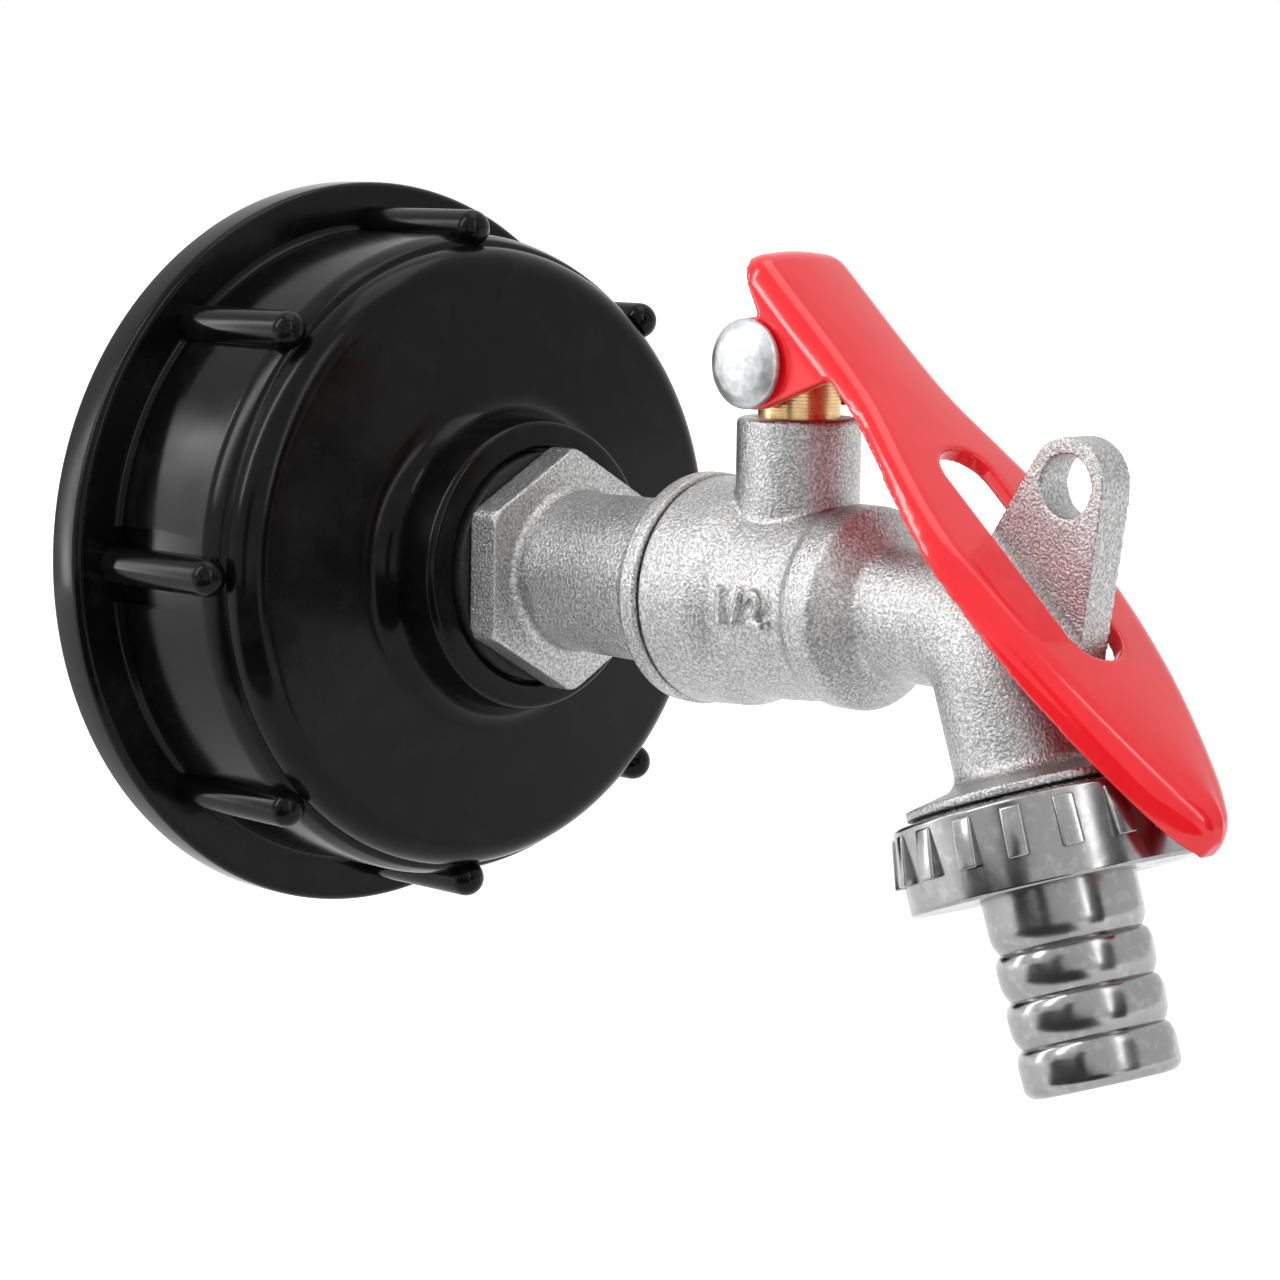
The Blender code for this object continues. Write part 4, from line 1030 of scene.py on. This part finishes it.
# %% Hose nut
UNION_STEPS = 144
GRIP_COUNT = 18
GRIP_HALF = 1.0
nut = turned(
    "union_nut",
    [
        (16.9, 12.0, 0.2),
        (23.4, 12.0, 0),
        (23.4, 7.75, 0.2),
        (25.1, 7.75, 0.3),
        (25.1, 14.0, 0.4),
        (16.9, 14.0, 0.4),
    ],
    UNION_STEPS,
    DOWN_SPOUT,
)
wedge = [(17.6, 13.0), (17.6, 14.2), (22.3, 14.9), (22.3, 13.0)]
wedge_points = [mm(along, -GRIP_HALF, radius) for along, radius in wedge]
grip = plate("grip", wedge_points, mm(0, 2 * GRIP_HALF, 0))
apply_modifier(grip, "BEVEL", width=0.22 * MM, segments=3)
grips = []
for number in range(GRIP_COUNT):
    around = about("X", math.tau * number / GRIP_COUNT)
    grips.append(copied(grip, DOWN_SPOUT @ around))
bpy.data.objects.remove(grip)
combine(nut, join("grips", grips), "UNION")
smooth(nut)
dress(nut, chrome, "nut", ["hose_nut"])

# %% [markdown]
# The hose is pushed over the tail, and its barbs hold it. The tail is turned too: each
# barb swells softly between two narrow grooves, and the flange at its top stays hidden in
# the nut. One list of four corners is repeated at every groove.

# %% Hose tail
tail_corners = [
    (44.0, 5.0, 0.3),  # the bore
    (21.9, 5.0, 0),
    (21.9, 11.3, 0),  # the flange
    (23.1, 11.3, 0),
    (23.1, 7.45, 0),
]
for groove in (30.3, 34.8, 39.3):
    tail_corners += [
        (groove - 1.1, 7.4, 3.0),
        (groove, 6.8, 0),
        (groove + 0.3, 7.2, 0.8),
        (groove + 1.2, 7.5, 2.5),
    ]
tail_corners.append((44.0, 7.45, 1.8))
tail = turned("barbed_tail", tail_corners, UNION_STEPS, DOWN_SPOUT)
smooth(tail)
dress(tail, chrome, "tail", ["hose_tail"])

# %% [markdown]
# ## Pieces that stay as they are
#
# Gaskets, seats and O-rings are plain rings that are hidden or nearly so. Their CAD
# solids stay, with a proper finish.

# %% Finishes for the CAD pieces that stay
kept = {
    "adapter_washer": rubber,
    "cap_gasket": rubber,
    "connector_o_ring": rubber,
    "hose_washer": rubber,
    "stem_o_ring_lower": rubber,
    "stem_o_ring_upper": rubber,
    "inlet_seat_ring": white,
    "outlet_seat_ring": white,
    "thrust_washer": white,
    "ball": chrome,
}
for name, finish in kept.items():
    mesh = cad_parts[name].data
    mesh.materials.clear()
    mesh.materials.append(finish.material)
print(len(kept), "CAD pieces stay")

# %% [markdown]
# ## The studio
#
# The picture is a plain product shot, white all round. The white can't come from strong
# light, which would wash out the metal. So the floor and the world are white only for the
# rays that see them: from the camera, in a reflection or through glass. This mask is made
# once and used in both.

# %% Rays that see the background
def seeing_rays(tree):
    """A socket that is 1 for camera, glossy and transmission rays, and otherwise 0."""
    path = add_node(tree, "ShaderNodeLightPath")
    seen = path.outputs["Is Camera Ray"]
    for kind in ("Is Glossy Ray", "Is Transmission Ray"):
        either = add_node(tree, "ShaderNodeMath", operation="MAXIMUM")
        link(tree, (seen, either.inputs[0]), (path.outputs[kind], either.inputs[1]))
        seen = either.outputs[0]
    return seen


# %% [markdown]
# The floor is pale and catches a faint shadow. Its glow is weaker near the object, which
# keeps the shadow, and grows with the distance until the floor melts into the world.

# %% Floor
FLOOR_Z = -0.115
FLOOR_SIZE = 12
floor_glow = {"From Min": 0.15, "From Max": 0.6, "To Min": 0.45, "To Max": 1.0}
deselect()
bpy.ops.mesh.primitive_plane_add(size=FLOOR_SIZE, location=(0, 0, FLOOR_Z))
floor = bpy.context.object
floor.name = "studio_floor"
pale = Finish(
    "pale_floor",
    {"Base Color": (0.9, 0.9, 0.9, 1), "Roughness": 0.8, "Emission Color": (1, 1, 1, 1)},
)
distance = add_node(pale.tree, "ShaderNodeVectorMath", operation="LENGTH")
glow = add_node(pale.tree, "ShaderNodeMapRange", floor_glow)
lift = add_node(pale.tree, "ShaderNodeMath", operation="MULTIPLY")
link(
    pale.tree,
    (pale.place, distance.inputs[0]),
    (distance.outputs["Value"], glow.inputs["Value"]),
    (seeing_rays(pale.tree), lift.inputs[0]),
    (glow.outputs["Result"], lift.inputs[1]),
    (lift.outputs[0], pale.shader.inputs["Emission Strength"]),
)
floor.data.materials.append(pale.material)
print(floor.name, "lies at", FLOOR_Z)

# %% [markdown]
# The world is white where it is seen and dimmer as a light, so that it fills the shadows
# and leaves the modelling to the lamps.

# %% World
FILL_LIGHT = 0.4
world = bpy.data.worlds.new("studio")
world.use_nodes = True
bpy.context.scene.world = world
background = world.node_tree.nodes["Background"]
background.inputs["Color"].default_value = (1, 1, 1, 1)
level = add_node(world.node_tree, "ShaderNodeMapRange", {"To Min": FILL_LIGHT})
link(
    world.node_tree,
    (seeing_rays(world.node_tree), level.inputs["Value"]),
    (level.outputs["Result"], background.inputs["Strength"]),
)
print("the world fills with", FILL_LIGHT)

# %% [markdown]
# The camera stands where the photographer stood, as fitted from the object's sizes. Its
# long lens keeps the cap nearly round. Its three axes are built from the two angles of
# view and a small roll, which is safer than typing Euler angles.

# %% Camera
YAW, PITCH, ROLL = (math.radians(angle) for angle in (46.324, 7.218, 0.80))
PICTURE_PIXELS = 1280
FOCAL_PIXELS = 3800
SENSOR = 36
level_back = math.cos(PITCH)
back = Vector((math.sin(YAW) * level_back, -math.cos(YAW) * level_back, math.sin(PITCH)))
right = Vector((math.cos(YAW), math.sin(YAW), 0))
up = back.cross(right)
tilted_right = right * math.cos(ROLL) + up * math.sin(ROLL)
tilted_up = up * math.cos(ROLL) - right * math.sin(ROLL)
bpy.ops.object.camera_add()
camera = bpy.context.object
camera.name = "camera"
camera.data.sensor_width = SENSOR
camera.data.lens = FOCAL_PIXELS / PICTURE_PIXELS * SENSOR
camera.data.clip_start = 0.01
axes = Matrix((tilted_right, tilted_up, back)).transposed().to_4x4()
camera.matrix_world = shift(329.735, -268.949, 42.944) @ axes
bpy.context.scene.camera = camera
print("the lens is", round(camera.data.lens, 1), "mm long")

# %% [markdown]
# Two soft strips from the left and one from the right draw the long highlights on the cap
# and the tube, and a broad lamp above evens out the top. They are narrow, because a wide
# lamp would turn the whole casting white.


# %% Lamps
def face(obj, target):
    """Turn a lamp or a card towards a point."""
    way = Vector(target) - obj.location
    obj.rotation_euler = way.to_track_quat("-Z", "Y").to_euler()


def softbox(name, place, width, height, power):
    """An area lamp that faces the tap."""
    bpy.ops.object.light_add(type="AREA", location=place)
    lamp = bpy.context.object
    lamp.name = name
    lamp.data.shape = "RECTANGLE"
    lamp.data.size = width
    lamp.data.size_y = height
    lamp.data.energy = power
    face(lamp, (0.06, 0, 0))
    print("lamp", name, "of", power, "watts")


softbox("key", (-0.15, -0.55, 0.45), 0.09, 0.6, 2.3)
softbox("side", (0.65, -0.15, 0.35), 0.1, 0.6, 1.0)
softbox("left_strip", (-0.5, -0.42, 0.1), 0.05, 0.7, 1.3)
softbox("top", (0.1, 0.1, 0.8), 0.6, 0.4, 1.3)

# %% [markdown]
# Polished metal needs something dark to reflect, or it looks like paper. So a few black
# cards stand round the tap, as in a real studio. Only reflections show them.

# %% Cards
dark = Finish("dark_card", {"Base Color": (0.02, 0.02, 0.02, 1)})


def card(name, place, width, height):
    """A black card that only shows in reflections, facing the tap."""
    deselect()
    bpy.ops.mesh.primitive_plane_add(size=1, location=place)
    made = bpy.context.object
    made.name = name
    made.scale = (width, height, 1)
    face(made, (0.08, 0, 0))
    made.data.materials.append(dark.material)
    made.visible_camera = False
    made.visible_shadow = False
    made.visible_diffuse = False
    print("card", name, "measures", width, "by", height)


card("card_right", (0.5, -0.02, -0.02), 0.16, 0.7)
card("card_left", (0.22, -0.5, -0.1), 0.14, 0.6)
card("card_low", (0.12, -0.12, -0.11), 0.3, 0.22)

# %% [markdown]
# ## Finish
#
# The colours are written as they should look, so the view transform is the plain one.

# %% Finish
bpy.context.scene.view_settings.view_transform = "Standard"
